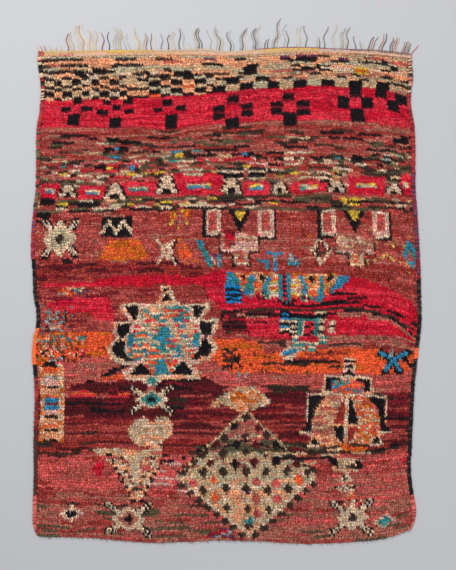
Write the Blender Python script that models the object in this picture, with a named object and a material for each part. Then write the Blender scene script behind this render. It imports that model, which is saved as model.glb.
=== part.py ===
"""A hand-knotted wool rug lying flat: a lumpy pile slab with uneven edges, an overcast cord down each
side, and a flat-woven heading with its loose warp ends at one end. Metres, +Z up, +Y towards the fringe.
"""

import bisect
import math

import bmesh
import bpy
from mathutils import Vector, noise

# Heights above the floor
PILE_HEIGHT = 0.0105
BROAD_LUMP = 0.00084
FINE_LUMP = 0.00036
RIM_HEIGHT = 0.0075
HEADING_HEIGHT = 0.006
CORD_HEIGHT = 0.009
STRAND_HEIGHT = 0.0035

# Plan sizes
FIELD_WIDTH = 1.60
FIELD_LENGTH = 2.05
BROAD_LUMP_SIZE = 0.160
FINE_LUMP_SIZE = 0.064
RIM_INSET = 0.006
CORD_WIDTH = 0.017
CORD_END_WIDTH = 0.004
CORD_TAPER_LENGTH = 0.090
CORD_BULGE = 0.0012
CORD_BULGE_LENGTH = 0.050
CORD_END_HEIGHT_SHARE = 0.55
HEADING_BEVEL = 0.003
GAP = 0.0003

# Corners of a cord's section: share of its width from the pile outwards, and share of its height
CORD_PROFILE = ((0.0, 0.0), (0.0, 0.8), (0.35, 1.0), (0.75, 0.85), (1.0, 0.4), (0.88, 0.0))

# Strands of the fringe
ROOT_WIDTH = 0.0048
ROOT_ROOM = 0.0038
TIP_SHARE = 0.6
TIP_DROP = 0.35
STRAND_STEPS = 8
LENGTH_SPREAD = 0.40
ROOT_SHIFT_SHARE = 0.10
WAVE_SHARE = 0.10
SWAY = 0.0070
SWAY_LENGTH = 0.090
BENDS = 6.5
LEAN_POWER = 1.4

# Chance along the fringe: how quickly it changes across the rug, and a place in the noise
LENGTH_CHANCE = (91.0, 4.2)
SHIFT_CHANCE = (73.0, 6.5)
WAVE_CHANCE = (57.0, 9.1)
SWAY_CHANCE = (8.0, 3.1)
CHANCE_TURNS = 6.0

# Steps of the meshes and the angle from which an edge is sharp
COLUMNS = 34
ROWS = 44
SHARP_ANGLE = math.radians(40)
SAME_PLACE = 1e-6

# The two long edges, from the fringed end down: place along the rug, left edge, right edge
SIDE_EDGES = (
    (0.985, -0.792, 0.785),
    (0.930, -0.792, 0.779),
    (0.865, -0.782, 0.784),
    (0.798, -0.778, 0.775),
    (0.731, -0.783, 0.777),
    (0.662, -0.795, 0.790),
    (0.529, -0.798, 0.794),
    (0.395, -0.800, 0.794),
    (0.328, -0.808, 0.800),
    (0.227, -0.817, 0.806),
    (0.126, -0.820, 0.812),
    (0.059, -0.813, 0.815),
    (-0.042, -0.810, 0.818),
    (-0.109, -0.798, 0.819),
    (-0.176, -0.798, 0.819),
    (-0.244, -0.812, 0.811),
    (-0.311, -0.815, 0.804),
    (-0.378, -0.808, 0.796),
    (-0.479, -0.804, 0.788),
    (-0.580, -0.807, 0.783),
    (-0.680, -0.809, 0.779),
    (-0.781, -0.808, 0.775),
    (-0.882, -0.810, 0.786),
    (-0.949, -0.811, 0.796),
    (-0.983, -0.811, 0.793),
    (-1.016, -0.809, 0.783),
    (-1.055, -0.796, 0.760),
)
LEFT_CORNER = -1.055
RIGHT_CORNER = -1.030

# The fringed end, from the left: place across the rug, edge of the heading
TOP_EDGE = (
    (-0.795, 0.976),
    (-0.640, 0.976),
    (-0.520, 0.980),
    (-0.300, 0.981),
    (-0.200, 0.982),
    (-0.090, 0.986),
    (0.015, 0.974),
    (0.078, 0.979),
    (0.160, 0.988),
    (0.267, 0.993),
    (0.351, 0.993),
    (0.435, 0.988),
    (0.519, 0.985),
    (0.603, 0.982),
    (0.687, 0.976),
    (0.750, 0.968),
    (0.790, 0.963),
)

# The seam between the heading and the pile, from the left: place across the rug, edge of the heading
SEAM = (
    (-0.800, 0.953),
    (-0.550, 0.957),
    (-0.250, 0.960),
    (0.000, 0.956),
    (0.150, 0.962),
    (0.330, 0.970),
    (0.560, 0.962),
    (0.795, 0.941),
)

# The plain end, from the left: place across the rug, edge of the pile
BOTTOM_EDGE = (
    (-0.830, -1.055),
    (-0.775, -1.061),
    (-0.640, -1.063),
    (-0.540, -1.067),
    (-0.472, -1.075),
    (-0.405, -1.081),
    (-0.304, -1.087),
    (-0.204, -1.084),
    (-0.103, -1.080),
    (-0.036, -1.076),
    (0.099, -1.079),
    (0.166, -1.081),
    (0.233, -1.087),
    (0.334, -1.091),
    (0.435, -1.089),
    (0.536, -1.083),
    (0.636, -1.075),
    (0.704, -1.059),
    (0.737, -1.046),
    (0.790, -1.022),
)

# Bunches of warp ends, from the left: first and last root, number, length, sideways lean at the tip, and how
# far its tips draw together as a share
FRINGE = (
    (-0.787, -0.757, 3, 0.022, -0.010, 0.0),
    (-0.735, -0.690, 3, 0.020, -0.003, 0.0),
    (-0.664, -0.640, 3, 0.074, -0.004, 0.3),
    (-0.624, -0.588, 4, 0.098, -0.014, 0.3),
    (-0.572, -0.560, 2, 0.088, -0.006, 0.3),
    (-0.545, -0.545, 1, 0.078, -0.004, 0.0),
    (-0.520, -0.520, 1, 0.080, 0.002, 0.0),
    (-0.492, -0.492, 1, 0.092, 0.000, 0.0),
    (-0.470, -0.440, 4, 0.098, -0.004, 0.2),
    (-0.420, -0.404, 2, 0.070, -0.016, 0.3),
    (-0.378, -0.366, 2, 0.088, -0.008, 0.2),
    (-0.346, -0.334, 2, 0.072, -0.004, 0.3),
    (-0.312, -0.296, 2, 0.078, -0.012, 0.3),
    (-0.272, -0.272, 1, 0.066, -0.002, 0.0),
    (-0.244, -0.216, 3, 0.072, 0.002, 0.4),
    (-0.196, -0.176, 2, 0.082, -0.006, 0.5),
    (-0.154, -0.154, 1, 0.030, 0.000, 0.0),
    (-0.128, -0.104, 3, 0.090, -0.006, 0.4),
    (-0.066, -0.066, 1, 0.086, -0.008, 0.0),
    (-0.040, -0.016, 3, 0.092, -0.010, 0.4),
    (0.018, 0.030, 2, 0.094, -0.012, 0.2),
    (0.056, 0.076, 3, 0.092, 0.014, 0.2),
    (0.110, 0.140, 4, 0.096, 0.002, 0.3),
    (0.164, 0.174, 2, 0.040, 0.000, 0.0),
    (0.192, 0.211, 3, 0.102, 0.020, 0.2),
    (0.240, 0.256, 2, 0.086, 0.006, 0.3),
    (0.290, 0.306, 2, 0.092, 0.014, 0.3),
    (0.334, 0.334, 1, 0.100, -0.002, 0.0),
    (0.380, 0.390, 2, 0.036, 0.000, 0.0),
    (0.412, 0.412, 1, 0.080, 0.008, 0.0),
    (0.450, 0.450, 1, 0.096, 0.008, 0.0),
    (0.476, 0.506, 4, 0.082, 0.012, 0.1),
    (0.544, 0.544, 1, 0.062, -0.004, 0.0),
    (0.566, 0.576, 2, 0.030, 0.000, 0.0),
    (0.592, 0.612, 3, 0.050, 0.030, 0.1),
    (0.640, 0.652, 2, 0.062, 0.022, 0.1),
    (0.690, 0.716, 4, 0.062, 0.004, 0.1),
    (0.734, 0.760, 4, 0.052, 0.018, 0.1),
    (0.776, 0.776, 1, 0.044, 0.040, 0.0),
)

# Linear colours read by eye from the wool, roughness
WOOL_LOOKS = {
    "pile": ((0.26, 0.040, 0.035), 0.95),
    "overcast": ((0.035, 0.022, 0.018), 0.95),
    "heading": ((0.50, 0.36, 0.20), 0.95),
}


def clear_scene():
    for thing in list(bpy.data.objects):
        bpy.data.objects.remove(thing, do_unlink=True)


def wool(name):
    """The Principled material of one kind of wool."""
    colour, roughness = WOOL_LOOKS[name]
    material = bpy.data.materials.new(name)
    material.use_nodes = True
    shader = material.node_tree.nodes["Principled BSDF"]
    shader.inputs["Base Color"].default_value = (*colour, 1.0)
    shader.inputs["Roughness"].default_value = roughness
    shader.inputs["Metallic"].default_value = 0.0
    return material


def read_curve(rows, at, column=1):
    """The value of a table's column at a place in its first column, on a smooth curve through the rows."""
    rows = sorted(rows)
    places = [row[0] for row in rows]
    at = min(max(at, places[0]), places[-1])
    k = min(max(bisect.bisect_right(places, at) - 1, 0), len(rows) - 2)

    def slope(i):
        low, high = max(i - 1, 0), min(i + 1, len(rows) - 1)
        return (rows[high][column] - rows[low][column]) / (places[high] - places[low])

    span = places[k + 1] - places[k]
    t = (at - places[k]) / span
    start, end = rows[k][column], rows[k + 1][column]
    return (
        (1 + 2 * t) * (1 - t) ** 2 * start
        + t * (1 - t) ** 2 * span * slope(k)
        + t * t * (3 - 2 * t) * end
        + t * t * (t - 1) * span * slope(k + 1)
    )


def left_edge(y):
    return read_curve(SIDE_EDGES, y, 1)


def right_edge(y):
    return read_curve(SIDE_EDGES, y, 2)


def top_edge(x):
    return read_curve(TOP_EDGE, x)


def seam(x):
    return read_curve(SEAM, x)


def bottom_edge(x):
    return read_curve(BOTTOM_EDGE, x)


def cord_width(y, corner):
    """A side cord narrows to a nub where it runs out at its bottom corner."""
    share = min(max((y - corner) / CORD_TAPER_LENGTH, 0.0), 1.0)
    return CORD_END_WIDTH + (CORD_WIDTH - CORD_END_WIDTH) * math.sin(share * math.pi / 2)


def steps_with_rim(count, length):
    """Shares from 0 to 1 in even steps, with a narrow first and last step for the rounded rim."""
    rim = RIM_INSET / length
    inner = [rim + (1 - 2 * rim) * k / (count - 2) for k in range(count - 1)]
    return [0.0, *inner, 1.0]


class FieldOutline:
    """The four edges of the pile slab, inside its side cords and below its heading."""

    def __init__(self):
        self.top_y = seam(0.0)
        self.columns = steps_with_rim(COLUMNS, FIELD_WIDTH)
        self.rows = steps_with_rim(ROWS, FIELD_LENGTH)
        self.corners = {
            "top left": self.top(0.0),
            "top right": self.top(1.0),
            "bottom left": self.bottom(0.0),
            "bottom right": self.bottom(1.0),
        }

    def top(self, u):
        x_left = left_edge(self.top_y) + CORD_WIDTH + GAP
        x_right = right_edge(self.top_y) - CORD_WIDTH - GAP
        x = x_left + (x_right - x_left) * u
        return Vector((x, seam(x) - GAP))

    def bottom(self, u):
        x_left = left_edge(LEFT_CORNER) + CORD_END_WIDTH + GAP
        x_right = right_edge(RIGHT_CORNER) - CORD_END_WIDTH - GAP
        x = x_left + (x_right - x_left) * u
        y = bottom_edge(x)
        if u == 0.0:
            y = LEFT_CORNER
        if u == 1.0:
            y = RIGHT_CORNER
        return Vector((x, y))

    def left(self, v):
        y = LEFT_CORNER + (self.top(0.0).y - LEFT_CORNER) * v
        return Vector((left_edge(y) + cord_width(y, LEFT_CORNER) + GAP, y))

    def right(self, v):
        y = RIGHT_CORNER + (self.top(1.0).y - RIGHT_CORNER) * v
        return Vector((right_edge(y) - cord_width(y, RIGHT_CORNER) - GAP, y))

    def place(self, u, v):
        """A point of the slab's plan, blended between its four edges."""
        corner = self.corners
        across = self.left(v) * (1 - u) + self.right(v) * u
        along = self.bottom(u) * (1 - v) + self.top(u) * v
        low = corner["bottom left"] * (1 - u) + corner["bottom right"] * u
        high = corner["top left"] * (1 - u) + corner["top right"] * u
        return across + along - (low * (1 - v) + high * v)


def pile_top(x, y):
    """Height of the trodden pile, which is never quite even."""
    broad = noise.noise(Vector((x, y, 0.0)) / BROAD_LUMP_SIZE)
    fine = noise.noise(Vector((x, y, 1.0)) / FINE_LUMP_SIZE)
    return PILE_HEIGHT + BROAD_LUMP * broad + FINE_LUMP * fine


def finish_object(name, shape, material):
    """Turns a closed bmesh into a named object with its faces pointing out."""
    bmesh.ops.recalc_face_normals(shape, faces=shape.faces)
    mesh = bpy.data.meshes.new(name)
    shape.to_mesh(mesh)
    shape.free()
    mesh.materials.append(material)
    mesh.shade_smooth()
    mesh.set_sharp_from_angle(angle=SHARP_ANGLE)
    thing = bpy.data.objects.new(name, mesh)
    bpy.context.scene.collection.objects.link(thing)
    return thing


def make_field(outline, material):
    """The knotted field as one slab: a lumpy top, a low rim and a flat underside."""
    shape = bmesh.new()
    last_row, last_column = len(outline.rows) - 1, len(outline.columns) - 1
    grid = []
    for j, v in enumerate(outline.rows):
        line = []
        for i, u in enumerate(outline.columns):
            x, y = outline.place(u, v)
            on_rim = i in (0, last_column) or j in (0, last_row)
            line.append(shape.verts.new((x, y, RIM_HEIGHT if on_rim else pile_top(x, y))))
        grid.append(line)
    for j in range(last_row):
        for i in range(last_column):
            shape.faces.new((grid[j][i], grid[j][i + 1], grid[j + 1][i + 1], grid[j + 1][i]))
    ring = (
        grid[0]
        + [grid[j][last_column] for j in range(1, last_row)]
        + grid[last_row][::-1]
        + [grid[j][0] for j in range(last_row - 1, 0, -1)]
    )
    under = [shape.verts.new((vert.co.x, vert.co.y, 0.0)) for vert in ring]
    for k, vert in enumerate(ring):
        after = (k + 1) % len(ring)
        shape.faces.new((vert, under[k], under[after], ring[after]))
    shape.faces.new(under)
    return finish_object("rug_field", shape, material)


def cord_stations(inner_edge, end_y):
    """Points along a cord's inner side: those of the slab's edge, one more between each two, and the end."""
    stations = [inner_edge[0]]
    for start, end in zip(inner_edge, inner_edge[1:]):
        stations += [(start + end) / 2, end]
    last, before = stations[-1], stations[-2]
    share = (end_y - before.y) / (last.y - before.y)
    stations[-1] = before + (last - before) * share
    return stations


def make_cord(name, edge, inner_edge, side, end_y, material):
    """An overcast side cord: flat below and against the pile, rounded outside, bulging along its wraps."""
    shape = bmesh.new()
    sections = []
    for point in cord_stations(inner_edge, end_y):
        y = point.y
        inner = point.x - side * GAP
        width = abs(inner - edge(y))
        bulge = CORD_BULGE * noise.noise(Vector((side, y / CORD_BULGE_LENGTH, 0.0)))
        full = CORD_END_HEIGHT_SHARE + (1 - CORD_END_HEIGHT_SHARE) * width / CORD_WIDTH
        height = CORD_HEIGHT * full + bulge
        section = []
        for width_share, height_share in CORD_PROFILE:
            x = inner - side * width * width_share
            section.append(shape.verts.new((x, y, height * height_share)))
        sections.append(section)
    for here, after in zip(sections, sections[1:]):
        for k in range(len(here)):
            m = (k + 1) % len(here)
            shape.faces.new((here[k], here[m], after[m], after[k]))
    shape.faces.new(sections[0])
    shape.faces.new(sections[-1])
    return finish_object(name, shape, material)


def chance_at(x, chance):
    """A number from about -0.5 to 0.5 that depends on the place across the rug alone."""
    pace, place = chance
    return noise.noise(Vector((x * pace, place, 0.0)))


def strand_roots():
    """The strands from left to right: root place, length, the room that each may wave in, and its bunch."""
    strands = []
    for bunch in FRINGE:
        first, last, number, length, *_ = bunch
        pitch = (last - first) / max(number - 1, 1)
        for k in range(number):
            x = first + pitch * k
            x += pitch * ROOT_SHIFT_SHARE * chance_at(x, SHIFT_CHANCE)
            reach = length * (1 + LENGTH_SPREAD * chance_at(x, LENGTH_CHANCE))
            strands.append((x, reach, pitch * WAVE_SHARE, bunch))
    return strands


def strand_shift(strand, t):
    """How far aside of its root a strand lies at a share t of its length. A bunch sways as one."""
    x_root, reach, wave, (first, last, _, length, lean, gather) = strand
    middle, along = (first + last) / 2, t * reach
    aside = (lean + gather * (middle - x_root)) * (along / length) ** LEAN_POWER
    own = wave * math.sin(CHANCE_TURNS * chance_at(x_root, WAVE_CHANCE) + BENDS * t)
    shared = SWAY * math.sin(CHANCE_TURNS * chance_at(middle, SWAY_CHANCE) + BENDS * along / SWAY_LENGTH)
    return aside + own * min(t * 2, 1.0) + shared * min(along * 2 / SWAY_LENGTH, 1.0)


def straight_between(points, x):
    """The y at a place on the straight lines through some points, which run on past both ends."""
    k = min(max(bisect.bisect_right([point.x for point in points], x) - 1, 0), len(points) - 2)
    start, end = points[k], points[k + 1]
    return start.y + (end.y - start.y) * (x - start.x) / (end.x - start.x)


def heading_stops(strands, columns_x, x_left, x_right):
    """Places across the heading where its mesh is cut: both sides of each root, and the slab's columns."""
    stops = []
    for x, *_ in strands:
        stops += [x - ROOT_WIDTH / 2, x + ROOT_WIDTH / 2]
    for x in [x_left, *columns_x, x_right]:
        if all(abs(x - stop) > ROOT_ROOM for stop in stops):
            stops.append(x)
    return sorted(stops)


def grow_strand(shape, root, strand):
    """Extrudes one warp end from its cell of the heading's edge, tapering and waving along the floor."""
    x_root, length, *_ = strand
    y_root = top_edge(x_root)
    x_middle = x_root
    face = root
    for step in range(1, STRAND_STEPS + 1):
        t = step / STRAND_STEPS
        face = bmesh.ops.extrude_discrete_faces(shape, faces=[face])["faces"][0]
        half = ROOT_WIDTH / 2 * (1 - (1 - TIP_SHARE) * t)
        x = x_root + strand_shift(strand, t)
        for vert in face.verts:
            on_left = vert.co.x < x_middle
            on_floor = vert.co.z < STRAND_HEIGHT / 2
            vert.co.x = x - half if on_left else x + half
            vert.co.y = y_root + length * t
            vert.co.z = 0.0 if on_floor else STRAND_HEIGHT * (1 - TIP_DROP * t)
        x_middle = x


def make_heading(outline, material):
    """The flat-woven heading with every warp end growing from its outer edge, as one body."""
    shape = bmesh.new()
    strands = strand_roots()
    x_left, x_right = left_edge(outline.top_y), right_edge(outline.top_y)
    columns = [outline.top(u) for u in outline.columns]
    columns_x = [point.x for point in columns]
    stops = heading_stops(strands, columns_x, x_left, x_right)
    sections = []
    for x in stops:
        outer = top_edge(x)
        inner = straight_between(columns, x) + GAP
        profile = (
            (outer, 0.0),
            (outer, STRAND_HEIGHT),
            (outer - HEADING_BEVEL, HEADING_HEIGHT),
            (inner, HEADING_HEIGHT),
            (inner, 0.0),
        )
        sections.append([shape.verts.new((x, place, z)) for place, z in profile])
    roots = []
    for here, after, x in zip(sections, sections[1:], stops):
        faces = []
        for k in range(len(here)):
            m = (k + 1) % len(here)
            faces.append(shape.faces.new((here[k], here[m], after[m], after[k])))
        for strand in strands:
            if abs(x + ROOT_WIDTH / 2 - strand[0]) < SAME_PLACE:
                roots.append((faces[0], strand))
    shape.faces.new(sections[0])
    shape.faces.new(sections[-1])
    bmesh.ops.recalc_face_normals(shape, faces=shape.faces)
    for root, strand in roots:
        grow_strand(shape, root, strand)
    return finish_object("fringed_heading", shape, material)


def centre_on_origin(things):
    """Puts the middle of the rug's plan over the origin."""
    xs = [vert.co.x for thing in things for vert in thing.data.vertices]
    ys = [vert.co.y for thing in things for vert in thing.data.vertices]
    for thing in things:
        thing.location = (-(min(xs) + max(xs)) / 2, -(min(ys) + max(ys)) / 2, 0.0)


def main():
    clear_scene()
    outline = FieldOutline()
    seam_points = [outline.top(u) for u in outline.columns]
    overcast = wool("overcast")
    field = make_field(outline, wool("pile"))
    cords = []
    for name, edge, inner, side in (
        ("side_cord_left", left_edge, outline.left, 1),
        ("side_cord_right", right_edge, outline.right, -1),
    ):
        inner_edge = [inner(v) for v in outline.rows]
        end_y = min(inner(1.0).y, straight_between(seam_points, edge(outline.top_y)))
        cords.append(make_cord(name, edge, inner_edge, side, end_y, overcast))
    heading = make_heading(outline, wool("heading"))
    centre_on_origin([field, *cords, heading])


main()
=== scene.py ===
"""The looks of a hand-knotted wool rug that lies flat on a pale floor, seen from straight above.

The rug is charted knot by knot, in rows counted from the fringed end and columns counted from the left, as
its weaver would count them. Metres, +Z up, +Y towards the fringe.
"""

import bisect
import math

import bpy
import numpy as np
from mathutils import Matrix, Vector, noise


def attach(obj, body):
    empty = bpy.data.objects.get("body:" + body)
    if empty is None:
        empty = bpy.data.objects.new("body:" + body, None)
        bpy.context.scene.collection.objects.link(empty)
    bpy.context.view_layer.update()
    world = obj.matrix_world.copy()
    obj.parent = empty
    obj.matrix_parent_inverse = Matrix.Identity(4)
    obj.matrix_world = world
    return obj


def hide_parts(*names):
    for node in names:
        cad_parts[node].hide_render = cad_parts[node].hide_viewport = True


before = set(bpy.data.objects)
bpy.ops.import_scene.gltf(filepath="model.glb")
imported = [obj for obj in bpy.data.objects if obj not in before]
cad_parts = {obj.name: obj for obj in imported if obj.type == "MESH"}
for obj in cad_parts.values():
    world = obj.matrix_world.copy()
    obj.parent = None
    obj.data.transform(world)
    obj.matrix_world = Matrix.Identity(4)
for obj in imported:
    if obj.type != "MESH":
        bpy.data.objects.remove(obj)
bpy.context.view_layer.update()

# Count of knots, and a knot's width as a share of the height of its row
COLUMNS = 184
ROWS = 192
KNOT_WIDTH = 0.78

# Seeds of all chance
PATTERN_SEED = 11
DYE_SEED = 12
TUFT_SEED = 13
CORD_SEED = 14
HEADING_SEED = 15
FRINGE_SEED = 16

# What counts as nothing, and what counts as one place, when a solid is measured
TINY = 1e-4
SAME_PLACE = 2e-4

# Gentle unevenness: number of waves, their lengths as shares of its size, and what brings the peaks to 1
LUMP_WAVES = 7
LUMP_LENGTHS = (0.7, 1.6)
LUMP_PEAK = 1.5

# Size and seed of the unevenness of each layer
PILE_LUMPS = (0.14, 3)
GROUND_LUMPS = (0.05, 5)
HEADING_LUMPS = (0.03, 8)

# Unevenness of the rows: depth in rows, size in rows, stretch along the rug and seed of each wave
ROW_WAVES = (
    (0.42, 16.0, 1.6, 21),
    (0.26, 5.0, 1.2, 22),
)
WAVE_EDGE = 4.0

# Heights of the ground cloth above the floor
GROUND_TOP = 0.0032
GROUND_WAVE = 0.0004
RIM_DROP = 0.0012

# A tuft: heights of root, belly and tip, how far each is moved along the rug as a share of the knot's
# cell, size of the root, sizes of the belly as shares of the cell, its share of the tip's lean, and its tilt
ROOT_HEIGHT = 0.0026
BELLY_HEIGHT = 0.0066
TIP_HEIGHT = 0.0104
ROOT_FORWARD = 0.22
BELLY_FORWARD = 0.10
TIP_FORWARD = -0.34
ROOT_RADIUS = 0.0015
BELLY_WIDE = 0.36
BELLY_DEEP = 0.72
BELLY_BEND = 0.35
BELLY_TILT = 0.35

# The two ends of a knot across its cell, and chance in their size, lean and height
END_PLACES = (0.25, 0.75)
TUFT_SPREAD = 0.10
SIDE_LEAN = 0.24
DOWN_LEAN = 0.42
TIP_SPREAD = 0.0006
TIP_LUMP = 0.0009
EDGE_REACH = 0.004

# The worn top part: its rows, and how much of their depth the pile still fills
OPEN_ROWS = 61
OPEN_SHARE = 0.68

# Faces of a tuft by its seven points, three round the root, three round the belly and the tip, and how far
# up and across its part of the map each point lies
TUFT_QUADS = np.array(((0, 1, 4, 3), (1, 2, 5, 4), (2, 0, 3, 5)))
TUFT_TRIANGLES = np.array(((3, 4, 6), (4, 5, 6), (5, 3, 6), (2, 1, 0)))
TUFT_RISE = np.array((0.0, 0.0, 0.0, 0.6, 0.6, 0.6, 1.0))
TUFT_ASIDE = np.array((0.3, 0.5, 0.7, 0.3, 0.5, 0.7, 0.5))
TUFT_POINTS = 7
PILE_PIECES = 5

# Maps of the meshes: edge of a yarn's part, turns of a strand in its part, and cells of the ground cloth
MAP_EDGE = 0.1
MAP_TURNS = 37
MAP_COLUMNS = 2 * COLUMNS + 4
MAP_ROWS = ROWS + 2

# Corners of a quad in the order that turns it over
TURNED_OVER = [0, 3, 2, 1]

# Shades of the wool: chance in each knot, in stretches of a row and in each end, and the warmth of each
KNOT_DEPTH = 0.13
ROW_DEPTH = 0.09
ROW_STRETCH = 9
END_DEPTH = 0.37
WARMTH = 0.08
END_WARMTH = 0.10
WARM_SIDE = np.array((0.6, 0.0, -0.6))
BRIGHTEST = 0.30
DARKEST = 0.001
PILE_SHADE = 0.84
# Painted shade: the ground cloth's top, seen between the tufts, is darker than its underside
GROUND_PAINTED_SHADE = 0.85

# The side cords: length of a turn of the wrapping, its ridge at three stations, how far it stands out
# aside and above, its slant, chance aside, and the share of the solid's width that the core fills
WRAP_PITCH = 0.0056
WRAP_RIDGE = (0.0, 0.9, 0.75)
RIDGE_ASIDE = 0.0011
RIDGE_ABOVE = 0.0009
WRAP_SLANT = 0.0014
WRAP_SPREAD = 0.0009
CORE_SHARE = 0.94
CORD_SIDES = 9
CORD_DEPTH = 0.12
# Painted shade in the grooves between the turns of the wrapping
CORD_GROOVE_PAINTED_SHADE = 0.25
CORD_MAP_LENGTH = 2.2

# The heading: pitch of the warps, ribs of weft, height and rise of a rib, its dip between warps, and the
# painted shade in the grooves and where a rib dips. Its packed edges are found by the least width and the
# bevel.
WARP_PITCH = 0.0068
RIB_COUNT = 6
HEADING_LEVEL = 0.0042
RIB_RISE = 0.0017
RIB_DIP = 0.45
HEADING_WAVE = 0.0004
HEADING_GROOVE_PAINTED_SHADE = 0.35
DIP_PAINTED_SHADE = 0.4
HEADING_LEAST = 0.008
HEADING_BEVEL = 0.003
HEADING_DEPTH = 0.16
HEADING_SHADE = 0.74
YARN_EDGE_SPREAD = 0.006

# Plied yarns: depth of the twist's ridges, and the painted shade between them
PLIES = 2
RIDGE_DEPTH = 0.24
YARN_GROOVE_PAINTED_SHADE = 0.3

# The twined yarn
TWINE_PITCH = 0.0085
TWINE_RADIUS = 0.0019
TWINE_STEPS = 4
TWINE_SIDES = 7
TWINE_INSET = 0.001
TWINE_LEVEL = 0.0040

# Strands of the fringe
STRAND_RADIUS = 0.0017
STRAND_TWIST = 0.011
STRAND_STEP = 0.0034
STRAND_SIDES = 8
STRAND_TAPER = 0.5
STRAND_ROOT = 0.003
STRAND_LIFT = 1.1
STRAND_SPREAD = 0.12
LENGTH_SPREAD = 0.40
ROOT_SHIFT_SHARE = 0.10
WAVE_SHARE = 0.10
SWAY = 0.0070
SWAY_LENGTH = 0.090
BENDS = 6.5
LEAN_POWER = 1.4

# The field's first corner across and its lowest edge, as measured before the solids were packed
FIELD_CORNER = (-0.7917, -1.0910)

# Chance along the fringe: how quickly it changes across the rug, and a place in the noise
LENGTH_CHANCE = (91.0, 4.2)
SHIFT_CHANCE = (73.0, 6.5)
WAVE_CHANCE = (57.0, 9.1)
SWAY_CHANCE = (8.0, 3.1)
CHANCE_TURNS = 6.0

# The stage
FLOOR_SIZE = 14.0
FLOOR_LEVEL = -0.0004
FLOOR_SHADE = (150, 151, 154)
LIGHTS = (
    ("key", (-1.6, 3.0, 4.2), 3.0, 345.0),
    ("fill", (2.8, -1.8, 4.6), 3.0, 140.0),
)
SURROUND = 0.70
LENS = 85.0
SENSOR = 36.0
FARTHEST = 100.0
VIEW_LENGTH = 2.394
VIEW_CENTRE = (0.0076, -0.0045)

# Materials, with the inputs of their nodes
WOOL_ROUGHNESS = 0.9
FLOOR_ROUGHNESS = 0.85
SPECULAR = 0.08
SHEEN_ROUGHNESS = 0.45
FIBRE_STRETCH = (1.0, 1.0, 0.3)
FIBRE = {"Detail": 3.0, "Roughness": 0.6}
FIBRE_SPREAD = {"From Min": 0.3, "From Max": 0.7, "To Min": 0.74, "To Max": 1.24}
FIBRE_BUMP = {"Strength": 0.5, "Distance": 0.0006}
COLLAR_BUMP = {"Strength": 0.9, "Distance": 0.0016}

# Wools: painted shade at the root of a yarn and in its grooves, fineness of the fibres, and sheen
PILE_WOOL = (0.74, 900.0, 0.03)
GROUND_WOOL = (1.0, 700.0, 0.02)
CORD_WOOL = (0.4, 800.0, 0.03)
HEADING_WOOL = (0.55, 800.0, 0.05)

# Bunches of warp ends, from the left: first and last root, number, length, sideways lean at the tip, and
# how far its tips draw together as a share
FRINGE = (
    (-0.787, -0.757, 3, 0.022, -0.010, 0.0),
    (-0.735, -0.690, 3, 0.020, -0.003, 0.0),
    (-0.664, -0.640, 3, 0.074, -0.004, 0.3),
    (-0.624, -0.588, 4, 0.098, -0.014, 0.3),
    (-0.572, -0.560, 2, 0.088, -0.006, 0.3),
    (-0.545, -0.545, 1, 0.078, -0.004, 0.0),
    (-0.520, -0.520, 1, 0.080, 0.002, 0.0),
    (-0.492, -0.492, 1, 0.092, 0.000, 0.0),
    (-0.470, -0.440, 4, 0.098, -0.004, 0.2),
    (-0.420, -0.404, 2, 0.070, -0.016, 0.3),
    (-0.378, -0.366, 2, 0.088, -0.008, 0.2),
    (-0.346, -0.334, 2, 0.072, -0.004, 0.3),
    (-0.312, -0.296, 2, 0.078, -0.012, 0.3),
    (-0.272, -0.272, 1, 0.066, -0.002, 0.0),
    (-0.244, -0.216, 3, 0.072, 0.002, 0.4),
    (-0.196, -0.176, 2, 0.082, -0.006, 0.5),
    (-0.154, -0.154, 1, 0.030, 0.000, 0.0),
    (-0.128, -0.104, 3, 0.090, -0.006, 0.4),
    (-0.066, -0.066, 1, 0.086, -0.008, 0.0),
    (-0.040, -0.016, 3, 0.092, -0.010, 0.4),
    (0.018, 0.030, 2, 0.094, -0.012, 0.2),
    (0.056, 0.076, 3, 0.092, 0.014, 0.2),
    (0.110, 0.140, 4, 0.096, 0.002, 0.3),
    (0.164, 0.174, 2, 0.040, 0.000, 0.0),
    (0.192, 0.211, 3, 0.102, 0.020, 0.2),
    (0.240, 0.256, 2, 0.086, 0.006, 0.3),
    (0.290, 0.306, 2, 0.092, 0.014, 0.3),
    (0.334, 0.334, 1, 0.100, -0.002, 0.0),
    (0.380, 0.390, 2, 0.036, 0.000, 0.0),
    (0.412, 0.412, 1, 0.080, 0.008, 0.0),
    (0.450, 0.450, 1, 0.096, 0.008, 0.0),
    (0.476, 0.506, 4, 0.082, 0.012, 0.1),
    (0.544, 0.544, 1, 0.062, -0.004, 0.0),
    (0.566, 0.576, 2, 0.030, 0.000, 0.0),
    (0.592, 0.612, 3, 0.050, 0.030, 0.1),
    (0.640, 0.652, 2, 0.062, 0.022, 0.1),
    (0.690, 0.716, 4, 0.062, 0.004, 0.1),
    (0.734, 0.760, 4, 0.052, 0.018, 0.1),
    (0.776, 0.776, 1, 0.044, 0.040, 0.0),
)

# Colours of the warp ends, from the left: up to which place across, and the yarns found there
FRINGE_YARNS = (
    (-0.66, "brick dusty ochre"),
    (-0.55, "cream sage ochre"),
    (-0.48, "bark brick ochre"),
    (-0.36, "sage ochre ash"),
    (-0.32, "brick sand"),
    (0.10, "cream sage ash olive"),
    (0.30, "ash sage olive"),
    (0.58, "sage ash olive olive"),
    (0.90, "dusty olive bark sage"),
)

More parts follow.
